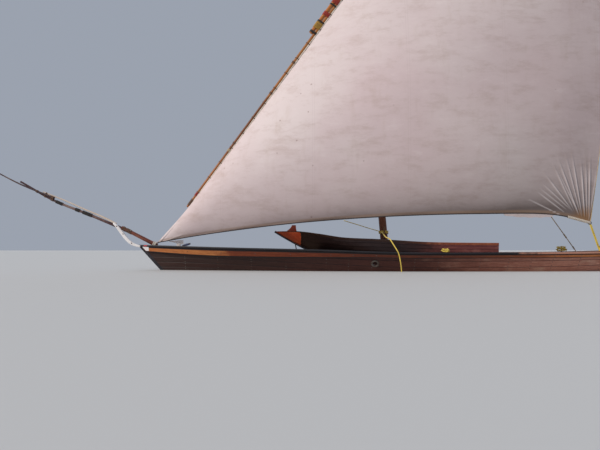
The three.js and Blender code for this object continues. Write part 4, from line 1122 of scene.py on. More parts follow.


# Softwood boards with caps, red-brown and orange-brown; from the nose back to about the mast both are painted
# nearly black with a blue-grey shade, and aft they keep their own colour
wash_board_wood = timber(
    "wash_boards_painted_shade_forward", "#6A3234", "#9C5C56", 3.0,
    "surface", 0.58, weathered="#B07C74", weather_share=0.16,
    bump_mm=0.6, tone_spread=0.35,
    by_length=[(0.0, "#53575A"), (0.49, "#53575A"), (0.54, "#7E7472"), (0.60, "#E8DCD6"), (1.0, "#FFF6F0")],
)
strake_cap_wood = timber(
    "strake_cap_painted_shade_forward", "#7A3A24", "#B8704C", 3.0, "surface", 0.55,
    weathered="#C48A66", weather_share=0.24, bump_mm=0.5,
    by_length=[(0.0, "#585C66"), (0.49, "#5C6068"), (0.54, "#9A9290"), (0.60, "#FFF0E8"), (1.0, "#FFF6F0")],
)
for side, way in SIDES:
    shape = new_shape()
    for index in range(STRAKE_BOARDS):
        loft(shape, strake_rings(lapped_board(index), way), tone=index + 3 * way + 9)
    piece(shape, f"wash_boards_{side}", wash_board_wood, "hull", [f"wash_strake_{side}"], 30)
    shape = new_shape()
    loft(shape, strake_rings(strake_cap, way), tone=4 + way)
    piece(shape, f"wash_board_cap_{side}", strake_cap_wood, "hull", sharp=50)

# Orange-red boat paint, sun-faded in patches and chipped to dark wood
nose_paint = worn_paint(
    "orange_red_boat_paint", "#B8441F", "#D8693A", "#2A1410", 0.42, chips=0.30, dirt="#4A1C12",
)
shape = new_shape()
rings = []
for x in stations(strake_stem(1) + 0.003, NOSE_X, 24):
    least = min(strake_level(x), 0.999)
    half_ring = [strake_point(x, least + (1 - least) * w / 10) for w in range(11)]
    rings.append(half_ring + [other_side(p) for p in reversed(half_ring)])
loft(shape, rings)
piece(shape, "strake_nose_block", nose_paint, "hull", ["strake_nose"], 40)


def plate_piece(outline, half, edge, middle_y=0.0):
    """Shape of a plate cut to an outline in x and z, with its arrises rounded off."""
    shape = new_shape()
    loft(shape, [[Vector((x, middle_y + y, z)) for x, z in outline] for y in (-half, half)])
    sharp = [e for e in shape.edges if e.calc_face_angle(0) > math.radians(30)]
    bmesh.ops.bevel(
        shape, geom=sharp, offset=edge, segments=3, affect="EDGES", profile=0.5, clamp_overlap=True,
    )
    return shape


post_x = -1.490
post_z = table_value(STRAKE_TOP, post_x)
# Outline of the hooked post, in millimetres from its foot
POST_OUTLINE = [
    (-120, -14), (48, -14), (36, 26), (30, 60), (28, 100),
    (-30, 100), (-40, 78), (-56, 56), (-78, 36), (-104, 16),
]
piece(
    plate_piece([(post_x + x / 1000, post_z + z / 1000) for x, z in POST_OUTLINE], 0.020, 0.006),
    "nose_post", nose_paint, "hull", sharp=50,
)

STEM_BAR = {"half": 0.013, "proud": 0.020, "deep": 0.012}
shape = new_shape()
rings = []
for k in range(31):
    v = k / 30
    here = strake_point(strake_stem(v), v)
    near = [strake_point(strake_stem(w), w) for w in (max(v - 0.01, 0), min(v + 0.01, 1))]
    run = (near[1] - near[0]).normalized()
    outward = Vector((run.z, 0, -run.x))
    if outward.x > 0:
        outward.negate()
    deep, proud = -STEM_BAR["deep"], STEM_BAR["proud"]
    section = rounded([(deep, -1), (proud, -1), (proud, 1), (deep, 1)], 0.006)
    sideways = Vector((0, STEM_BAR["half"], 0))
    rings.append([here + outward * out + sideways * across for out, across in section])
loft(shape, rings)
piece(shape, "strake_stem_bar", black_paint, "hull", sharp=50)
PROP = {"foot": Vector((-1.448, -0.006, 0.2715)), "head": Vector((-1.474, -0.006, 0.408)), "r": 0.0075}
turn = [math.pi * k / 5 for k in range(10)]
round_section = [Vector((math.cos(w), math.sin(w), 0)) * PROP["r"] for w in turn]
middles = [PROP["foot"].lerp(PROP["head"], share) for share in (0, 0.5, 1)]
shape = new_shape()
loft(shape, [[middle + out for out in round_section] for middle in middles])
piece(shape, "nose_prop", black_paint, "hull", sharp=50)


# Round spars: the mast, the two poles of the yard and the poles of the bowsprit are barked saplings,
# left a little crooked and knotty, and rubbed smooth by the ropes.
def swept(shape, line, section_at, tone=0.0):
    """Skin round a line of points; section_at(run, share) gives the offsets across it."""
    across = None
    rings, run = [], 0.0
    for i, p in enumerate(line):
        ahead = (line[min(i + 1, len(line) - 1)] - line[max(i - 1, 0)]).normalized()
        if across is None:
            across = ahead.orthogonal().normalized()
        across = (across - ahead * across.dot(ahead)).normalized()
        beside = ahead.cross(across)
        if i:
            run += (p - line[i - 1]).length
        rings.append([p + across * a + beside * b for a, b in section_at(run, i / (len(line) - 1))])
    return loft(shape, rings, tone)


def pole(shape, start, end, start_r, end_r, tone=0.0, sides=20, step=0.05, via=()):
    """Natural pole, no thicker than its solid: oval here and there, with low swellings at old knots."""
    if via:
        line = curve_line([start, *via, end], step)
    else:
        line = spaced([Vector(start), Vector(end)], step)
    seed = 1.7 * tone + 0.4

    def section(run, share):
        r = start_r + (end_r - start_r) * share
        swell = 0.965 + 0.012 * math.sin(9.1 * run + seed)
        swell += 0.015 * max(math.sin(3.3 * run + 2 * seed), 0) ** 8
        points = []
        for k in range(sides):
            angle = 2 * math.pi * k / sides
            oval = 0.012 * math.sin(2 * angle + 1.9 * run + seed)
            out = r * (swell + oval + 0.006 * math.sin(5 * angle + seed))
            points.append((out * math.cos(angle), out * math.sin(angle)))
        return points

    return swept(shape, line, section, tone)


def tube(shape, line, radius, sides=6, tone=0.0):
    """Plain round cord along a line."""
    turn = [2 * math.pi * k / sides for k in range(sides)]
    ring = [(radius * math.cos(w), radius * math.sin(w)) for w in turn]
    return swept(shape, line, lambda run, share: ring, tone)


def belt_point(circles, angle):
    """Point of a taut band round one or two circles, given as (up, across, radius)."""
    u, v = math.cos(angle), math.sin(angle)
    a, b, r = max(circles, key=lambda c: c[0] * u + c[1] * v + c[2])
    return a + r * u, b + r * v


def bound_turns(shape, origin, axis, up, circles, rope_r, length, tone=0.0, steps=20):
    """Rope wound round poles side by side, each turn against the last."""
    up = (up - axis * up.dot(axis)).normalized()
    across = axis.cross(up)
    wound = [(a, b, r + rope_r * 0.9) for a, b, r in circles]
    count = max(round(length / (2 * rope_r)), 1)
    line = []
    for i in range(count * steps + 1):
        a, b = belt_point(wound, 2 * math.pi * i / steps)
        line.append(origin + up * a + across * b + axis * (length * (i / (count * steps) - 0.5)))
    tube(shape, line, rope_r, 6, tone)


MAST = {
    "solid_foot_z": -0.168, "foot_z": -0.1624, "head_z": 5.0, "foot_r": 0.062, "head_r": 0.043,
    "rake": 0.0862, "x": -0.110, "z": 0.243,
}


def mast_point(z):
    return Vector((MAST["x"] - MAST["rake"] * (z - MAST["z"]), 0, z))


def mast_radius(z):
    low, high = MAST["solid_foot_z"], MAST["head_z"]
    return MAST["foot_r"] + (MAST["head_r"] - MAST["foot_r"]) * (z - low) / (high - low)


# Straight hardwood sapling, oiled dark red-brown and dried out in patches
mast_wood = timber(
    "oiled_mast_sapling", "#5E2E1A", "#8E5436", 4.0, "surface", 0.50,
    weathered="#7A4A30", weather_share=0.30, bump_mm=0.8,
)
shape = new_shape()
pole(
    shape, mast_point(MAST["foot_z"]), mast_point(MAST["head_z"]),
    MAST["foot_r"], MAST["head_r"], 2, 28, 0.06,
)
piece(shape, "mast_sapling", mast_wood, "hull", ["mast"], 60)
eased("mast_truck_disc", "mast_truck", mast_wood, "hull", 0.006)
eased("mast_cleat_block", "mast_cleat", thwart_wood, "hull", 0.004)

YARD_HEEL, YARD_PEAK = Vector((-3.103, -0.010, 0.949)), Vector((3.028, -0.226, 9.400))
YARD_LINE = YARD_PEAK - YARD_HEEL
YARD_AXIS = YARD_LINE.normalized()
YARD_UP = Vector((-YARD_LINE.z, 0, YARD_LINE.x)).normalized()
YARD_JOIN = (0.31, 0.55)
YARD_HEEL_R, YARD_END_R, YARD_FOOT_R, YARD_PEAK_R = 0.021, 0.028, 0.030, 0.015
YARD_DROP = 0.026


def yard_at(t, lift=0.0):
    return YARD_HEEL + YARD_LINE * t + YARD_UP * lift


def lower_r(t):
    return YARD_HEEL_R + (YARD_END_R - YARD_HEEL_R) * t / YARD_JOIN[1]


def upper_r(t):
    return YARD_FOOT_R + (YARD_PEAK_R - YARD_FOOT_R) * (t - YARD_JOIN[0]) / (1 - YARD_JOIN[0])


def lower_lift(t):
    return -YARD_DROP * t / YARD_JOIN[1]


def upper_lift(t):
    end = YARD_JOIN[1]
    lift = lower_lift(end) + lower_r(end) + upper_r(end) + TOUCH
    return lift * (1 - t) / (1 - end)


def smoothed(value, low, high):
    t = min(max((value - low) / (high - low), 0), 1)
    return t * t * (3 - 2 * t)


def head_drop(t):
    below, above = lower_r(t) - lower_lift(t) + TOUCH, upper_r(t) - upper_lift(t) + TOUCH
    return below + (above - below) * smoothed(t, YARD_JOIN[1] + 0.006, YARD_JOIN[1] + 0.05)


# Peeled mangrove pole: orange-brown, oiled, darker low down, greyer where the sun has dried it
yard_wood = timber(
    "oiled_mangrove_yard", "#A0521A", "#E69C4C", 4.0, "surface",
    0.46, weathered="#B88450", weather_share=0.20,
    bump_mm=0.6,
    by_length=[
        (0.0, "#F4ECE6"), (0.11, "#E8DAD0"), (0.15, "#C4B0A2"), (0.20, "#B2A292"), (0.24, "#B8A898"),
        (0.265, "#FFF8F0"), (1.0, "#FFFFFF"),
    ],
)
shape = new_shape()
end = YARD_JOIN[1]
pole(shape, yard_at(0), yard_at(end, lower_lift(end)), lower_r(0), lower_r(end), 1)
piece(shape, "yard_lower_pole", yard_wood, "rig", ["yard_lower"], 60)
shape = new_shape()
end = YARD_JOIN[0]
pole(shape, yard_at(end, upper_lift(end)), yard_at(1), upper_r(end), upper_r(1), 5)
piece(shape, "yard_upper_pole", yard_wood, "rig", ["yard_upper"], 60)

BOWSPRIT = {
    "inner": {"radii": (0.032, 0.027), "path": [(-3.556, -0.006, 0.3669), (-4.092, -0.006, 0.640)]},
    "outer": {
        "radii": (0.025, 0.015),
        "path": [
            (-3.950, 0.0466, 0.562), (-4.609, 0.044, 0.838), (-5.142, 0.040, 1.052), (-5.656, 0.036, 1.340),
        ],
    },
    "tip": {
        "radii": (0.014, 0.009),
        "path": [(-5.120, 0.008, 1.085), (-5.655, 0.009, 1.302), (-6.095, 0.010, 1.528)],
    },
    "batten": {
        "radii": (0.016, 0.009),
        "path": [
            (-4.185, 0.026, 0.696), (-4.371, 0.030, 0.790), (-4.655, 0.034, 0.910),
            (-4.947, 0.036, 1.040), (-5.311, 0.036, 1.184),
        ],
    },
}
# Red-brown pole, wet and glossy inboard; the outer pole is darker and duller
inner_wood = timber(
    "wet_red_bowsprit_pole", "#5A281E", "#9C5A44", 4.0, "surface",
    0.44, weathered="#C09078", weather_share=0.22, bump_mm=0.7,
)
outer_wood = timber(
    "dark_bowsprit_pole", "#38242A", "#6E4C4A", 4.0, "surface", 0.60,
    weathered="#B09284", weather_share=0.26, bump_mm=0.7,
)
# Dry sapling bleached nearly white by the sun
bleached_wood = timber(
    "sun_bleached_thin_pole", "#D0B8A4", "#F4E6D6", 3.0, "surface",
    0.78, weathered="#E6D2C0", weather_share=0.4, bump_mm=0.6,
)
# Thin sapling gone dark grey-brown with mildew
tip_wood = timber(
    "grey_brown_tip_pole", "#3A2C30", "#66504E", 3.0, "surface",
    0.74, weathered="#84706A", weather_share=0.22, bump_mm=0.6,
)
for tone, (name, wood, slot_name) in enumerate((
    ("inner", inner_wood, "bowsprit_wood"), ("outer", outer_wood, "bowsprit_wood"),
    ("tip", tip_wood, "grey_pole"), ("batten", bleached_wood, "grey_pole"),
)):
    spec = BOWSPRIT[name]
    shape = new_shape()
    pole(shape, spec["path"][0], spec["path"][-1], *spec["radii"], tone + 7, 14, 0.03, spec["path"][1:-1])
    covered = [] if name == "batten" else [f"bowsprit_{name}"]
    piece(shape, f"bowsprit_{name}_pole", wood, "hull", covered, 60)


# Standing and running rigging: a shroud abeam and one led far aft, both to windward, the halyard's tye on
# the yard and its fall to a post on the mast's thwart, all of pale coir rope, seized at their ends.
SHROUD_R, HALYARD_R = 0.007, 0.008
coir_rope = rope_fibre("pale_coir_rope", "#D8C4A0", "#A88C62", "#5A4A36")
tarred_line = rope_fibre("dark_tarred_line", "#3A2C26", "#241A18", "#0E0A0A")
red_cord = rope_fibre("red_cotton_cord", "#C03A20", "#8E2216", "#4A120C")
yellow_cord = rope_fibre("faded_yellow_cord", "#CEA038", "#9C7420", "#463414")
white_cord = rope_fibre("white_cotton_cord", "#F0E8DC", "#CFC2B0", "#8A7A66")
brown_cord = rope_fibre("brown_coconut_cord", "#8A6448", "#5A3E2C", "#2E1E16")


def straight_rope(name, cad_name, start, end, radius, body):
    shape = new_shape()
    laid_rope(shape, spaced([Vector(start), Vector(end)], ROPE_STEP), radius, tone=len(name))
    return piece(shape, name, coir_rope, body, [cad_name], 80)


CAP_TOP = CAP_THICK + TOUCH
# Foot along and across the boat, its lift off the rail, height of the head and its angle round the mast
for name, foot_x, foot_y, lift, head_z, degrees in (
    ("shroud_fore", -0.020, 0.775, 0.0023, 4.880, 0), ("shroud_aft", 3.040, 0.596, 0.0045, 4.900, 80),
):
    out, turn = mast_radius(head_z) + 0.0083, math.radians(degrees)
    head = mast_point(head_z) + Vector((out * math.sin(turn), out * math.cos(turn), 0))
    foot = Vector((foot_x, foot_y, table_value(SHEER, foot_x) + CAP_TOP + lift))
    straight_rope(f"{name}_rope", name, foot, head, SHROUD_R, "hull")
    run = (head - foot).normalized()
    shape = new_shape()
    for place, length in ((foot + run * 0.06, 0.05), (foot + run * 0.30, 0.08), (head - run * 0.16, 0.10)):
        bound_turns(shape, place, run, Vector((1, 0, 0)), [(0, 0, SHROUD_R)], 0.0022, length)
    piece(shape, f"{name}_seizings", coir_rope, "hull", sharp=80)
shape = new_shape()
for head_z in (4.84, 4.90):
    at, axis = mast_point(head_z), Vector((-MAST["rake"], 0, 1)).normalized()
    bound_turns(shape, at, axis, Vector((1, 0, 0)), [(0, 0, mast_radius(head_z) * 0.985)], 0.0045, 0.034)
piece(shape, "mast_head_strops", coir_rope, "hull", sharp=80)

HALYARD_POST = Vector((-0.060, 0.430, 0.290))
halyard_low = HALYARD_POST + Vector((0, 0, 0.0013))
halyard_high = mast_point(4.986) + Vector((0.045, 0.061, 0))
straight_rope("halyard_fall_rope", "halyard_fall", halyard_low, halyard_high, HALYARD_R, "hull")
shape = new_shape()
turns_middle = HALYARD_POST - Vector((0, 0, 0.065))
bound_turns(shape, turns_middle, Vector((0, 0, 1)), Vector((1, 0, 0)), [(0, 0, 0.046)], 0.0065, 0.09)
piece(shape, "halyard_turns_on_post", coir_rope, "hull", sharp=80)

PARREL_T = 0.4267
parrel_at = yard_at(PARREL_T, lower_lift(PARREL_T))
tye_low = parrel_at + Vector((-0.030, 0.022, 0.062))
tye_head = mast_point(4.989)
tye_high = Vector((tye_head.x, -mast_radius(5.0) - HALYARD_R - 0.006, tye_head.z))
straight_rope("halyard_tye_rope", "halyard_tye", tye_low, tye_high, HALYARD_R, "rig")

shape = new_shape()
mast_axis = Vector((-MAST["rake"], 0, 1)).normalized()
ring_middle = mast_point(parrel_at.z)
for radius in (0.0465, 0.0640):
    bound_turns(
        shape, ring_middle, mast_axis, Vector((1, 0, 0)), [(0, 0, radius)], 0.0085, 0.049, radius * 100, 32,
    )
piece(shape, "parrel_turns", coir_rope, "rig", ["parrel"], 80)
shape = new_shape()
for shift in (-0.060, 0.060):
    at = parrel_at + YARD_AXIS * shift
    bound_turns(shape, at, YARD_AXIS, YARD_UP, [(0, 0, lower_r(PARREL_T) * 0.98)], 0.006, 0.05, shift)
piece(shape, "parrel_seizings", coir_rope, "rig", sharp=80)


BITE = 0.97  # share of a pole's radius at which cord bound on it begins


def yard_circles(t, both=True):
    """Poles at a place on the yard, as circles in the plane across it."""
    poles = []
    if t < YARD_JOIN[1]:
        poles.append((lower_lift(t), 0, lower_r(t) * BITE))
    if t > YARD_JOIN[0] and (both or not poles):
        poles.append((upper_lift(t), 0, upper_r(t) * BITE))
    return poles


LASHING_LENGTH = 0.112
for name, t in (("lower", 0.325), ("upper", 0.535)):
    shape = new_shape()
    bound_turns(shape, yard_at(t), YARD_AXIS, YARD_UP, yard_circles(t), 0.0042, LASHING_LENGTH, t, 28)
    piece(
        shape, f"yard_lashing_{name}_turns", yellow_cord, "rig", [f"yard_lashing_{name}"], 80,
    )

# Cords wound on the yard: place along it, length, cord and its radius
for index, (t, length, cord, cord_r) in enumerate((
    (0.0085, 0.110, brown_cord, 0.0035), (0.0230, 0.060, red_cord, 0.0030), (0.102, 0.040, coir_rope, 0.0035),
    (0.115, 0.030, brown_cord, 0.0035), (0.205, 0.036, brown_cord, 0.0040),
    (0.2605, 0.036, brown_cord, 0.0040), (0.3130, 0.040, tarred_line, 0.0040),
    (0.3310, 0.042, tarred_line, 0.0042), (0.3455, 0.068, red_cord, 0.0035),
    (0.3690, 0.085, red_cord, 0.0035), (0.4600, 0.060, tarred_line, 0.0040),
    (0.5480, 0.050, red_cord, 0.0035), (0.6700, 0.040, white_cord, 0.0035),
    (0.8300, 0.040, tarred_line, 0.0035), (0.9930, 0.060, tarred_line, 0.0030),
    (0.3620, 0.028, tarred_line, 0.0035),
)):
    shape = new_shape()
    bound_turns(shape, yard_at(t), YARD_AXIS, YARD_UP, yard_circles(t), cord_r, length, index, 24)
    piece(shape, f"yard_binding_{index}", cord, "rig", sharp=80)

POLE_STEP = 0.02


def along_pole(name, x):
    """Middle, radius and direction of one of the bowsprit's poles at a place along the boat."""
    path = [Vector(p) for p in BOWSPRIT[name]["path"]]
    line = curve_line(path, POLE_STEP) if len(path) > 2 else spaced(path, POLE_STEP)
    i = min(range(len(line)), key=lambda k: abs(line[k].x - x))
    first, last = BOWSPRIT[name]["radii"]
    j = min(max(i, 1), len(line) - 2)
    return line[i], first + (last - first) * i / (len(line) - 1), (line[j + 1] - line[j - 1]).normalized()


# Lashings of the bowsprit: place along the boat, the two poles bound, length
shape = new_shape()
for x, first, second, length in (
    (-3.985, "inner", "outer", 0.080), (-4.065, "inner", "outer", 0.040), (-5.160, "outer", "tip", 0.040),
    (-5.400, "outer", "tip", 0.024), (-5.270, "outer", "batten", 0.024),
):
    near, near_r, run = along_pole(first, x)
    far, far_r, _ = along_pole(second, x)
    up = (far - near) - run * (far - near).dot(run)
    bound_turns(
        shape, near, run, up, [(0, 0, near_r * BITE), (up.length, 0, far_r * BITE)], 0.0032, length, x,
    )
piece(shape, "bowsprit_lashings", brown_cord, "hull", sharp=80)
shape = new_shape()
for x, length in ((-4.640, 0.150), (-4.780, 0.070), (-5.060, 0.110)):
    at, at_r, run = along_pole("outer", x)
    bound_turns(shape, at, run, Vector((0, 0, 1)), [(0, 0, at_r * BITE)], 0.0042, length, x)
piece(shape, "bowsprit_servings", tarred_line, "hull", sharp=80)
heel, heel_r, heel_run = along_pole("inner", -3.600)
shape = new_shape()
bound_turns(shape, heel, heel_run, Vector((0, 0, 1)), [(0, 0, heel_r * 0.98)], 0.006, 0.048)
piece(shape, "tack_lashing", white_cord, "hull", sharp=80)


# Painted pieces forward: the white knee bolted to the port side of the stem under the bowsprit, the white
# bitt with its horn, and a dark-blue cleat. A white patch and a red spot are painted on each rail's end.
# White oil paint gone chalky, with a few grey-brown chips
white_paint = worn_paint(
    "white_boat_paint", "#FCF7F4", "#F0E8E4", "#9A8878", 0.44, chips=-0.14, dirt="#D2C8C0",
)
eased("stem_knee_board", "stem_knee", white_paint, "hull", 0.006, 3)
eased("fore_bitt_post", "fore_bitt", white_paint, "hull", 0.008, 3)
KNEE_FACE_Y = -0.0737
KNEE_BOLTS = [(-4.151, 0.655), (-4.054, 0.540), (-3.925, 0.402)]
scattered(
    "knee_bolts", nail_heads, [(Vector((x, KNEE_FACE_Y, z)), Vector((0, -1, 0))) for x, z in KNEE_BOLTS],
    {"Head radius": 0.0085, "Head height": 0.004, "Metal": rusty_iron}, "hull",
)
PATCH = {"from": -3.757, "to": -3.651, "drop": 0.004, "deep": 0.062, "lift": 0.0008, "out": RAIL_THICK}
SPOT = {"from": -3.740, "to": -3.686, "drop": -0.022, "deep": -0.004, "lift": 0.0010, "out": CAP_OUTSIDE}


def rail_patch(shape, place, way):
    """Skin of paint standing just proud of a rail's face."""
    face = place["out"]
    rings = []
    for x in stations(place["from"], place["to"], 6):
        top = table_value(SHEER, x)
        ring = []
        for out, drop in (
            (face - 0.002, place["drop"]), (face + place["lift"], place["drop"] + 0.001),
            (face + place["lift"], place["deep"] - 0.001), (face - 0.002, place["deep"]),
        ):
            z = top - drop
            front, back = hull_ends(z)
            s = max((x - front) / (back - front), 0.0006)
            p = hull_offset(s, 1 - max(drop, 0) / (top - RABBET_Z), out, True)
            p.z = z
            ring.append(p)
        rings.append(on_side(ring, way))
    loft(shape, rings)


# Fresh white lead paint, hardly chipped, for the patches and the horn; the spots are crimson
patch_paint = worn_paint(
    "fresh_white_patch_paint", "#F6F2F0", "#ECE6E4", "#B0A49C", 0.44, chips=-0.30, dirt="#E0D8D4",
)
spot_paint = worn_paint(
    "crimson_spot_paint", "#B82A38", "#C84A48", "#7A2A20", 0.42, chips=-0.20, dirt="#8A2228",
)
for name, place, paint, slot_name in (
    ("rail_end_patches", PATCH, patch_paint, "white_paint"),
    ("rail_end_spots", SPOT, spot_paint, "red_paint"),
):
    shape = new_shape()
    for side, way in SIDES:
        rail_patch(shape, place, way)
    piece(shape, name, paint, "hull", sharp=40)

# Horn of the bitt: sections along the boat as place, lowest and highest level, and half width
shape = new_shape()
HORN = [
    (-3.392, 0.4280, 0.4360, 0.004), (-3.330, 0.4200, 0.4390, 0.012), (-3.265, 0.4020, 0.4430, 0.022),
    (-3.215, 0.3880, 0.4490, 0.028), (-3.166, 0.3920, 0.4480, 0.026),
]
BITT_Y = 0.017
rings = []
for x, low, high, half in HORN:
    outline = rounded([(-half, low), (half, low), (half, high), (-half, high)], 0.008)
    rings.append([Vector((x, BITT_Y + y, z)) for y, z in outline])
loft(shape, rings)
piece(shape, "fore_bitt_horn", patch_paint, "hull", sharp=50)

# Rail cleat: a short dark-blue wooden horn nailed on the port cap rail just behind the bitt
blue_paint = worn_paint(
    "navy_blue_cleat_paint", "#0E1E46", "#1E3460", "#3A2A22", 0.46, chips=0.15, dirt="#080D1C",
)
RAIL_CLEAT = [
    (-3.128, 0.000, 0.012, 0.012), (-3.100, 0.000, 0.026, 0.014), (-3.060, 0.004, 0.040, 0.014),
    (-3.020, 0.018, 0.047, 0.012), (-3.000, 0.028, 0.048, 0.008),
]
shape = new_shape()
rings = []
for x, low, high, half in RAIL_CLEAT:
    z = table_value(SHEER, x) + CAP_THICK + TOUCH
    y = breadth_at(x, z - CAP_THICK - 0.001, 0) - 0.010
    corners = [(-half, low), (half, low), (half, high), (-half, high)]
    rings.append([Vector((x, out - y, z + rise)) for out, rise in rounded(corners, 0.006)])
loft(shape, rings)
piece(shape, "fore_rail_cleat", blue_paint, "hull", sharp=50)


# Fittings: drain rings of galvanised cast iron, a rudder hung on forged pintles and gudgeons with its
# tiller, and belaying pins turned from hardwood, which stand loose in their holes in the cap rails.

# Hot-dipped zinc gone chalky grey-brown, with rust at the rim
galvanised_iron = forged_iron("galvanised_ring_iron", "#746C66", "#4E3C30", 0.70)
for side, way in SIDES:
    eased(f"drain_ring_{side}", f"scupper_ring_{side}", galvanised_iron, "hull", 0.003)
for place in ("upper", "lower"):
    eased(f"gudgeon_{place}_iron", f"gudgeon_{place}", rusty_iron, "hull", 0.0015, 1)
    eased(f"pintle_{place}_iron", f"pintle_{place}", rusty_iron, "steering", 0.0015, 1)

rudder_wood = timber(
    "oiled_rudder_boards", "#4A2616", "#8A5434", 4.0, "Z", 0.55,
    weathered="#6A4A38", weather_share=0.35, bump_mm=0.8,
)
tiller_wood = timber(
    "hand_worn_tiller", "#6A3A1C", "#B4783E", 3.5, "X", 0.36,
    weathered="#8A5A34", weather_share=0.25, bump_mm=0.3,
)
eased("rudder_blade", "rudder", rudder_wood, "steering", 0.006)
eased("tiller_bar", "tiller", tiller_wood, "steering", 0.006)

PIN_X, PIN_R = 2.820, 0.013
pin_y = breadth_at(PIN_X, table_value(SHEER, PIN_X) - 0.001, 0) - 0.012
pin_z = table_value(SHEER, PIN_X) + CAP_THICK + 0.001
PIN_SHAPE = [
    (-0.020, 0.9), (0.0, 0.9), (0.018, 0.78), (0.045, 0.82), (0.066, 0.98), (0.080, 0.94), (0.086, 0.55),
]
for side, way in SIDES:
    shape = new_shape()
    rings = []
    for rise, share in PIN_SHAPE:
        middle, r = Vector((PIN_X, way * pin_y, pin_z + rise)), PIN_R * share
        turn = [2 * math.pi * k / 18 for k in range(18)]
        rings.append([middle + Vector((r * math.cos(a), r * math.sin(a), 0)) for a in turn])
    loft(shape, rings, tone=way)
    piece(shape, f"belaying_pin_{side}", tiller_wood, "hull", sharp=50)


# Sail: one large lateen of hand-sewn cotton, laced along its head to the yard and loose at the foot.
# It is soft and mottled with age, soiled and painted with shade low down and up the after half, and drawn
# into a fan of folds at the clew that carry a painted highlight and shade.
SAIL_BELLY, LEECH_ROACH = 0.300, 0.400
CLOTH = 0.0036
CLEW = Vector((2.642, -0.700, 0.676))
FOOT = [
    (-3.545, -0.024, 0.412), (-2.894, -0.110, 0.520), (-1.546, -0.320, 0.684), (-0.200, -0.520, 0.775),
    (1.116, -0.670, 0.807), (2.147, -0.715, 0.790), tuple(CLEW),
]
# Folds drawn from the clew: x and z where each begins, x and z where it fades, height
FOLDS = [
    (2.200, 0.800, 1.654, 1.066, 0.010), (2.230, 0.860, 1.833, 1.162, 0.011),
    (2.260, 0.900, 1.862, 1.217, 0.009), (2.300, 0.920, 1.904, 1.286, 0.010),
    (2.330, 0.930, 1.961, 1.424, 0.012), (2.380, 0.930, 2.100, 1.560, 0.010),
    (2.420, 0.930, 2.168, 1.465, 0.009), (2.440, 0.900, 2.185, 1.631, 0.012),
    (2.480, 0.900, 2.300, 1.700, 0.009), (2.510, 0.890, 2.400, 1.720, 0.011),
    (2.560, 0.870, 2.541, 1.603, 0.012), (2.600, 0.860, 2.620, 1.640, 0.009),
    (2.630, 0.850, 2.690, 1.686, 0.011), (2.650, 0.830, 2.800, 1.534, 0.008),
    (-3.500, 0.430, -3.180, 0.800, 0.008), (-3.480, 0.415, -3.060, 0.560, 0.006),
]
FOLD_WIDTH = 0.0095
ROBAND_STEP = 0.28
HEM_DEPTH = 0.035


def fold_height(x, z):
    rise = 0.0
    for x0, z0, x1, z1, height in FOLDS:
        along_x, along_z = x1 - x0, z1 - z0
        length = math.hypot(along_x, along_z)
        far = ((x - x0) * along_x + (z - z0) * along_z) / length ** 2
        if -0.30 < far < 1:
            off = ((x - x0) * along_z - (z - z0) * along_x) / length
            width = FOLD_WIDTH * (1 + 0.5 * max(far, 0))
            taper = smoothed(far, -0.30, 0.10) * (1 - smoothed(far, 0.45, 1.0))
            valley = math.exp(-((off - 1.7 * width) / width) ** 2)
            rise += height * taper * (math.exp(-(off / width) ** 2) - 0.22 * valley)
    return rise


def sail_point(a, b):
    """Middle of the cloth: a from tack to clew, b from the foot up to the head."""
    head = yard_at(a, -head_drop(a))
    point = curve_point(FOOT, a).lerp(head, b)
    point.x += LEECH_ROACH * math.sin(math.pi * b) * a ** 3
    point.y -= SAIL_BELLY * math.sin(math.pi * b ** 0.8) * math.sin(math.pi * a ** 0.9)
    free = math.sin(math.pi * b) ** 0.5 if 0 < b < 1 else 0.0
    run = a * YARD_LINE.length
    below = (1 - b) * (2.0 + 7.0 * a)
    pull = 0.005 * math.cos(2 * math.pi * run / ROBAND_STEP) * math.exp(-below / 0.16)
    soft = 0.008 * math.sin(2.1 * point.x + 1.3 * point.z)
    soft += 0.006 * math.sin(3.7 * point.z - 2.2 * point.x + 1.0)
    slack = (
        0.010 * math.sin(5.2 * point.x + 0.8) * math.exp(-b / 0.03)
        * smoothed(a, 0.02, 0.2) * smoothed(b, 0, 0.01)
    )
    point.y += pull * smoothed(1 - b, 0, 0.004) + free * soft - slack
    point.y -= fold_height(point.x, point.z) * smoothed(b, 0.0, 0.012)
    return point


def graded_steps(parts):
    """Steps from 0 to 1, with a count of steps in each part given as (end, count)."""
    steps, start = [0.0], 0.0
    for end, count in parts:
        steps += [start + (end - start) * (k + 1) / count for k in range(count)]
        start = end
    return steps


COLUMNS = graded_steps([(0.06, 18), (0.77, 62), (1.0, 120)])
ROWS = graded_steps([(0.008, 3), (0.13, 92), (0.97, 76), (1.0, 12)])


def dirt_and_painted_shade(a, b, point):
    """Darkening of the cloth from 0 to 1, part dirt and part painted shade: heavy at the foot, less up the
    after half, fading upward.
    """
    low = point.z - curve_point(FOOT, a).z
    # Along the foot: dirt, and painted shade where the cloth turns under.
    foot_dirt_and_shade = 0.42 * math.exp(-low / 0.16) * smoothed(a, 0.0, 0.35) + 0.22 * math.exp(-low / 0.9)
    # Up the after half: painted shade.
    after = 0.44 * smoothed(a, 0.30, 0.95) * math.exp(-low / 7.0)
    shaded = 0.26 * math.exp(-low / 0.50) * smoothed(a, 0.12, 0.45)
    return min(foot_dirt_and_shade * (0.6 + 0.4 * a) + after + shaded, 1.0)


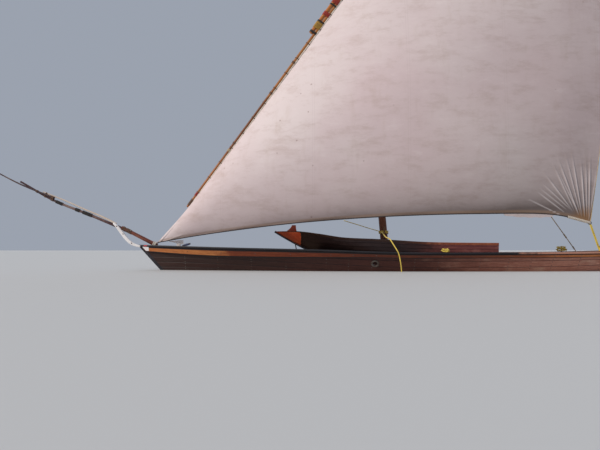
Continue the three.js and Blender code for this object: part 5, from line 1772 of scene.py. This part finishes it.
shape = new_shape()
surface = shape.loops.layers.uv["surface"]
soil_and_shade_layer = shape.verts.layers.float.new("soil")
patch_layer = shape.verts.layers.float.new("patch")
fold_light_layer = shape.verts.layers.float.new("fold")
hem_layer = shape.verts.layers.float.new("hem")
middle = [[sail_point(a, b) for b in ROWS] for a in COLUMNS]
sides_of_cloth = []
for way in (1, -1):
    grid = []
    for i, column in enumerate(middle):
        grid.append([])
        for j, p in enumerate(column):
            vert = shape.verts.new((p.x, p.y + way * CLOTH / 2, p.z))
            # Darkening from dirt and painted shade.
            vert[soil_and_shade_layer] = dirt_and_painted_shade(COLUMNS[i], ROWS[j], p)
            flat = Vector((p.x, 0, p.z)) - Vector((CLEW.x, 0, CLEW.z))
            vert[patch_layer] = 1 - smoothed(flat.length + 0.55 * max(flat.z, 0), 0.12, 0.52)
            # Fold height, which carries the painted highlight on the ridges and painted shade in the hollows.
            vert[fold_light_layer] = 0.5 + 0.5 * fold_height(p.x, p.z) / 0.012
            vert[hem_layer] = 1 - smoothed(p.z - column[0].z, HEM_DEPTH, HEM_DEPTH + 0.02)
            grid[-1].append(vert)
    sides_of_cloth.append(grid)
front, back = sides_of_cloth[1], sides_of_cloth[0]
last_i, last_j = len(COLUMNS) - 1, len(ROWS) - 1
faces = []
for i in range(last_i):
    for j in range(last_j):
        faces.append(shape.faces.new((front[i][j], front[i + 1][j], front[i + 1][j + 1], front[i][j + 1])))
        faces.append(shape.faces.new((back[i][j], back[i][j + 1], back[i + 1][j + 1], back[i + 1][j])))
for i in range(last_i):
    faces.append(shape.faces.new((front[i][0], back[i][0], back[i + 1][0], front[i + 1][0])))
    faces.append(
        shape.faces.new((front[i][last_j], front[i + 1][last_j], back[i + 1][last_j], back[i][last_j]))
    )
for j in range(last_j):
    faces.append(shape.faces.new((front[0][j], front[0][j + 1], back[0][j + 1], back[0][j])))
    faces.append(
        shape.faces.new((front[last_i][j], back[last_i][j], back[last_i][j + 1], front[last_i][j + 1]))
    )
for face in faces:
    for corner in face.loops:
        corner[surface].uv = (corner.vert.co.x, corner.vert.co.z)
bmesh.ops.recalc_face_normals(shape, faces=shape.faces)
cloth_area = sum(f.calc_area() for f in faces) / 2


SEAM_START, CLOTH_WIDTH = -0.14, 1.345


def sail_cotton():
    """Unbleached cotton gone pinkish grey: mottled, specked with rust, seamed, stained at the clew, darker at
    the foot and up the after half from dirt and painted shade, and painted light and dark along the folds.

    Clouds are 1.8 m across, spots 450 by 250 by 150 mm, drips 140 mm wide and 600 mm long, and one rust
    speck stands in each 220 mm. The weave is 2.4 mm, coarser than the real thread, so that it shows.
    """
    material, tree, shader = new_material(
        "weathered_cotton_sailcloth", 0.90, Sheen_Weight=0.08, Specular_IOR_Level=0.2,
    )
    place = node(tree, "ShaderNodeTexCoord", give="Object")
    x = node(tree, "ShaderNodeSeparateXYZ", {0: place}, give="X")
    clouds = node(tree, NOISE, {"Vector": place, "Scale": 0.55, "Detail": 4, "Roughness": 0.5})
    level = node(tree, "ShaderNodeMapping", {"Vector": place, "Scale": (2.2, 4.0, 6.5)})
    spots = node(tree, NOISE, {"Vector": level, "Scale": 1, "Detail": 7, "Roughness": 0.74})
    drips = node(tree, "ShaderNodeMapping", {"Vector": place, "Scale": (7.0, 7.0, 1.6)})
    streaks = node(tree, NOISE, {"Vector": drips, "Scale": 1, "Detail": 5, "Roughness": 0.6})
    cells = node(tree, "ShaderNodeTexVoronoi", {"Vector": place, "Scale": 4.5, "Randomness": 1.0})
    rare = node(tree, NOISE, {"Vector": place, "Scale": 1.3, "Detail": 1})
    soil, patch, fold, hem = (
        node(tree, "ShaderNodeAttribute", attribute_name=label, give="Fac")
        for label in ("soil", "patch", "fold", "hem")
    )
    thin = node(tree, RAMP, {0: cells}, stops=[(0.030, 0.55), (0.075, 0.0)])
    some = node(tree, RAMP, {0: rare}, stops=[(0.46, 0.0), (0.62, 1.0)])
    specks = node(tree, MATH, {0: thin, 1: some}, operation="MULTIPLY")
    grime = node(tree, MATH, {0: spots, 1: 0.16, 2: -0.08}, operation="MULTIPLY_ADD")
    grime = node(tree, MATH, {0: soil, 1: grime})
    stain = node(tree, MATH, {0: streaks, 1: patch}, operation="MULTIPLY")
    panel = node(tree, MATH, {0: x, 1: SEAM_START})
    panel = node(tree, MATH, {0: panel, 1: CLOTH_WIDTH}, operation="DIVIDE")
    panel = node(tree, MATH, {0: panel}, operation="FRACT")
    panel = node(tree, MATH, {0: panel, 1: -0.5})
    panel = node(tree, MATH, {0: panel}, operation="ABSOLUTE")
    stitched = node(
        tree, RAMP, {0: panel}, stops=[(0.4860, 0.0), (0.4880, 1.0), (0.4900, 1.0), (0.4920, 0.0)],
    )
    seam = node(tree, MATH, {0: stitched, 1: 0.10}, operation="MULTIPLY")
    cloth = linear("#DDC9C9")
    # The grime colour follows the darkening attribute: dirt, and painted shade along the foot and up the
    # after half. The pale fold colour is a painted highlight on each fold's ridge, and the dark one is
    # painted shade in the hollow beside it.
    for source, stops, colour in (
        (clouds, [(0.36, 0.0), (0.64, 1.0)], "#E6D8D6"),
        (spots, [(0.50, 0.0), (0.70, 0.36)], "#BCA296"),
        (spots, [(0.26, 0.40), (0.42, 0.0)], "#EDE2E0"),
        (streaks, [(0.56, 0.0), (0.78, 0.16)], "#AE9478"),
        (specks, (), "#8E6A60"),
        (grime, [(0.03, 0.0), (1.0, 0.95)], "#5E5350"),
        (stain, [(0.08, 0.0), (0.50, 0.85)], "#8A6440"),
        (hem, [(0.0, 0.0), (1.0, 0.45)], "#96785E"),
        (fold, [(0.58, 0.0), (0.95, 0.55)], "#E2D8D8"),
        (fold, [(0.26, 0.35), (0.46, 0.0)], "#5E5456"),
        (seam, (), "#8A7468"),
    ):
        share = node(tree, RAMP, {0: source}, stops=stops) if stops else source
        cloth = node(tree, MIX, {0: share, 6: cloth, 7: colour}, **RGBA)
    tree.links.new(cloth, shader.inputs["Base Color"])
    weave = node(tree, NOISE, {"Vector": place, "Scale": 420, "Detail": 1})
    bumped = node(tree, MATH, {0: spots, 1: 3.0, 2: weave}, operation="MULTIPLY_ADD")
    bumped = node(tree, MATH, {0: stitched, 1: 0.6, 2: bumped}, operation="MULTIPLY_ADD")
    bump = node(tree, "ShaderNodeBump", {"Height": bumped, "Strength": 0.30, "Distance": 0.0020})
    tree.links.new(bump, shader.inputs["Normal"])
    return material


cotton = sail_cotton()
sail = piece(shape, "lateen_sail", cotton, "rig", ["sail"], 60)

# Bolt ropes: a stout cream rope along the head, a dark tarred one along the foot, and a cord on the leech
close = [yard_at(t, -head_drop(t) - 0.002) + Vector((0, -0.010, 0)) for t in stations(0, 1, 200)]
head_line = spaced(close, 0.02)
shape = new_shape()
laid_rope(shape, head_line, 0.011, 3, 10)
head_rope = piece(shape, "sail_head_rope", white_cord, "rig", sharp=80)
foot_line = spaced([curve_point(FOOT, k / 300) + Vector((0, -0.001, 0.002)) for k in range(301)], 0.014)
shape = new_shape()
laid_rope(shape, foot_line, 0.0085, 3, 9)
foot_rope = piece(shape, "sail_foot_rope", tarred_line, "rig", sharp=80)
leech_line = spaced([sail_point(1.0, k / 200) for k in range(201)], 0.02)
shape = new_shape()
laid_rope(shape, leech_line, 0.006, 3, 8)
leech_rope = piece(shape, "sail_leech_rope", coir_rope, "rig", sharp=80)

# Robands about a foot apart along the yard, each two turns of coconut cord round the pole and the head rope
shape = new_shape()
count = int(YARD_LINE.length / ROBAND_STEP)
for k in range(1, count):
    t = k * ROBAND_STEP / YARD_LINE.length
    rope = (-head_drop(t) - 0.004, 0.008, 0.010)
    bound_turns(shape, yard_at(t), YARD_AXIS, YARD_UP, [*yard_circles(t, False), rope], 0.0032, 0.0128, k, 22)
robands = piece(shape, "sail_robands", brown_cord, "rig", sharp=80)

# White lacing along the last 0.7 m of the foot, and a rope eye worked into the clew
shape = new_shape()
for a in stations(0.890, 0.998, 23):
    here = curve_point(FOOT, a)
    ahead = (curve_point(FOOT, a + 0.001) - here).normalized()
    line = []
    for w in range(13):
        angle = 2 * math.pi * w / 12
        u, v = 0.012 * math.cos(angle), 0.016 * math.sin(angle) + 0.004
        line.append(here + Vector((0, -1, 0)) * u + Vector((0.2, 0, 1)) * v + ahead * 0.006 * w / 12)
    tube(shape, line, 0.0042)
foot_lacing = piece(shape, "clew_lacing", white_cord, "rig", sharp=80)
shape = new_shape()
eye = []
EYE_R = 0.020
for angle in stations(0, 2 * math.pi, 32):
    across, up = EYE_R * math.cos(angle), EYE_R * math.sin(angle)
    eye.append(CLEW + Vector((-0.004 + across, -0.002 * math.sin(angle), 0.002 + up)))
tube(shape, eye, 0.0065, 8)
clew_eye = piece(shape, "clew_eye", tarred_line, "rig", sharp=80)

# Frayed strip of hem that hangs under the foot, pale where it has lost its bolt rope's tar
shape = new_shape()
rings = []
for k, a in enumerate(stations(0.715, 0.830, 40)):
    top = curve_point(FOOT, a)
    deep = 0.052 * math.sin(math.pi * k / 40) ** 0.4 + 0.004 * math.sin(7 * k)
    rings.append([
        top + Vector((0, -0.002, -0.004)), top + Vector((0, 0.002, -0.004)),
        top + Vector((0.004, 0.004, -0.006 - deep)), top + Vector((0.004, -0.001, -0.006 - deep)),
    ])
loft(shape, rings)
hem = piece(shape, "foot_hem_strip", cotton, "rig", sharp=60)

# Tack of the sail, gathered to a thick roll of cloth where it is made fast
shape = new_shape()
rings = []
for x, y, z, r in (
    (-3.565, -0.018, 0.402, 0.008), (-3.545, -0.020, 0.412, 0.012), (-3.515, -0.024, 0.427, 0.013),
    (-3.480, -0.027, 0.446, 0.011), (-3.445, -0.030, 0.466, 0.004),
):
    ring = []
    for k in range(16):
        across, up = r * math.cos(2 * math.pi * k / 16), r * math.sin(2 * math.pi * k / 16)
        ring.append(Vector((x - 0.55 * up, y + 0.7 * across, z + 0.83 * up)))
    rings.append(ring)
loft(shape, rings)
gather = piece(shape, "tack_gather", cotton, "rig", sharp=60)


# Sheet and spare rope: yellow twisted rope, taken double from the clew to a pin in the port rail.
# A thinner line runs slack from the foot of the sail to the mast's cleat, and two coils lie spare.
pin_side = Vector((PIN_X - 0.016, -pin_y, pin_z + 0.032))
clew_side = CLEW + Vector((0.006, 0, -0.022))
shape = new_shape()
for shift in (-0.0085, 0.0085):
    offset = Vector((shift, 0.2 * shift, 0))
    laid_rope(shape, spaced([clew_side + offset, pin_side + offset], ROPE_STEP), 0.0075, tone=shift)
sheet_rope = piece(shape, "sheet_rope", yellow_rope, None, ["sheet"], 80)
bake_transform(sheet_rope, "rig", "hull", clew_side, pin_side)
shape = new_shape()
bound_turns(
    shape, Vector((PIN_X, -pin_y, pin_z + 0.030)), Vector((0, 0, 1)),
    Vector((1, 0, 0)), [(0, 0, PIN_R * 0.8)], 0.007, 0.042,
)
piece(shape, "sheet_turns_on_pin", yellow_rope, "hull", sharp=80)

# Spare yellow rope: one coil dropped over the starboard pin, and one small coil lying on the port rail
COILS = {
    "coil_on_starboard_pin": {
        "x": PIN_X, "y": pin_y, "radius": 0.066, "turns": 6, "rise": 0.011, "rope": 0.0065,
    },
    "coil_on_port_rail": {
        "x": 0.600, "y": -0.786, "radius": 0.042, "turns": 4, "rise": 0.010, "rope": 0.0055,
    },
}
for name, coil in COILS.items():
    base = table_value(SHEER, coil["x"]) + CAP_TOP + coil["rope"] - 0.003
    line = []
    for k in range(36 * coil["turns"] + 1):
        turn = 2 * math.pi * k / 36
        r = coil["radius"] * (1 + 0.16 * math.sin(1.7 * turn) - 0.05 * k / 36)
        wave = 0.007 * (1 + math.sin(2.3 * turn))
        line.append(Vector((
            coil["x"] + 1.25 * r * math.cos(turn), coil["y"] + 0.75 * r * math.sin(turn),
            base + coil["rise"] * turn / (2 * math.pi) + wave,
        )))
    shape = new_shape()
    laid_rope(shape, spaced(line, 0.008), coil["rope"], sides=9)
    piece(shape, name, yellow_rope, "hull", sharp=80)

FOOT_TO_CLEAT = [
    (-0.766, -0.437, 0.722), (-0.560, -0.320, 0.668), (-0.350, -0.195, 0.612), (-0.187, -0.085, 0.574),
]
shape = new_shape()
laid_rope(shape, curve_line(FOOT_TO_CLEAT, ROPE_STEP), 0.0055)
foot_line_rope = piece(shape, "foot_to_cleat_rope", yellow_rope, None, sharp=80)
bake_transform(foot_line_rope, "rig", "hull", FOOT_TO_CLEAT[0], FOOT_TO_CLEAT[-1])
shape = new_shape()
cleat_at = mast_point(0.566)
bound_turns(
    shape, cleat_at + Vector((0, -0.004, 0)), Vector((0, 0, 1)),
    Vector((1, 0, 0)), [(0, 0, mast_radius(0.566) + 0.004)],
    0.0065, 0.039,
)
piece(shape, "rope_turns_on_mast", yellow_rope, "hull", sharp=80)


# Stage: a pale floor at the waterline, open inside the hull, under soft daylight from ahead and above.
# Only the boat above the floor shows from the camera, and the keel hangs below it.
FLOOR_REACH = 400.0
OUTLINE_STATIONS = [k / 48 for k in range(49)]


def waterline_half(s):
    top = table_value(SHEER, sheer_x(s))
    return hull_offset(s, -RABBET_Z / (top - RABBET_Z), -0.010)


floor_shape = bmesh.new()
starboard_line = [waterline_half(s) for s in OUTLINE_STATIONS]
outline = starboard_line + [other_side(p) for p in reversed(starboard_line)]
loops = []
for points in (
    [Vector((p.x, p.y, 0)) for p in outline],
    [Vector((x * FLOOR_REACH, y * FLOOR_REACH, 0)) for x, y in ((-1, -1), (1, -1), (1, 1), (-1, 1))],
):
    corners = [floor_shape.verts.new(p) for p in points]
    loops += [floor_shape.edges.new((a, b)) for a, b in zip(corners, corners[1:] + corners[:1])]
bmesh.ops.triangle_fill(floor_shape, edges=loops, use_beauty=True, use_dissolve=False, normal=(0, 0, 1))
floor_mesh = bpy.data.meshes.new("pale_floor")
floor_shape.to_mesh(floor_mesh)
floor_shape.free()
pale_floor = bpy.data.objects.new("pale_floor", floor_mesh)
bpy.context.scene.collection.objects.link(pale_floor)
floor_material, _, floor_shader = new_material("pale_studio_floor", 0.85)
floor_shader.inputs["Base Color"].default_value = linear("#C9CAC9")
floor_mesh.materials.append(floor_material)

# Lamps: where each stands from the boat, colour, angle across in degrees and strength
for name, toward, colour, across, strength in (
    ("soft_key", (-0.72, -0.42, 0.52), "#FFF6EC", 18, 2.3),
    ("soft_fill", (0.45, 0.80, 0.60), "#EEF2FF", 70, 0.5),
):
    lamp = bpy.data.lights.new(name, "SUN")
    lamp.color = linear(colour)[:3]
    lamp.angle = math.radians(across)
    lamp.energy = strength
    holder = bpy.data.objects.new(name, lamp)
    holder.rotation_euler = Vector(toward).to_track_quat("Z", "Y").to_euler()
    bpy.context.scene.collection.objects.link(holder)

world = bpy.data.worlds.new("pale_studio_air")
world.use_nodes = True
world.node_tree.nodes["Background"].inputs["Color"].default_value = linear("#C9D2E2")
world.node_tree.nodes["Background"].inputs["Strength"].default_value = 0.56
bpy.context.scene.world = world
bpy.context.scene.view_settings.view_transform = "Standard"
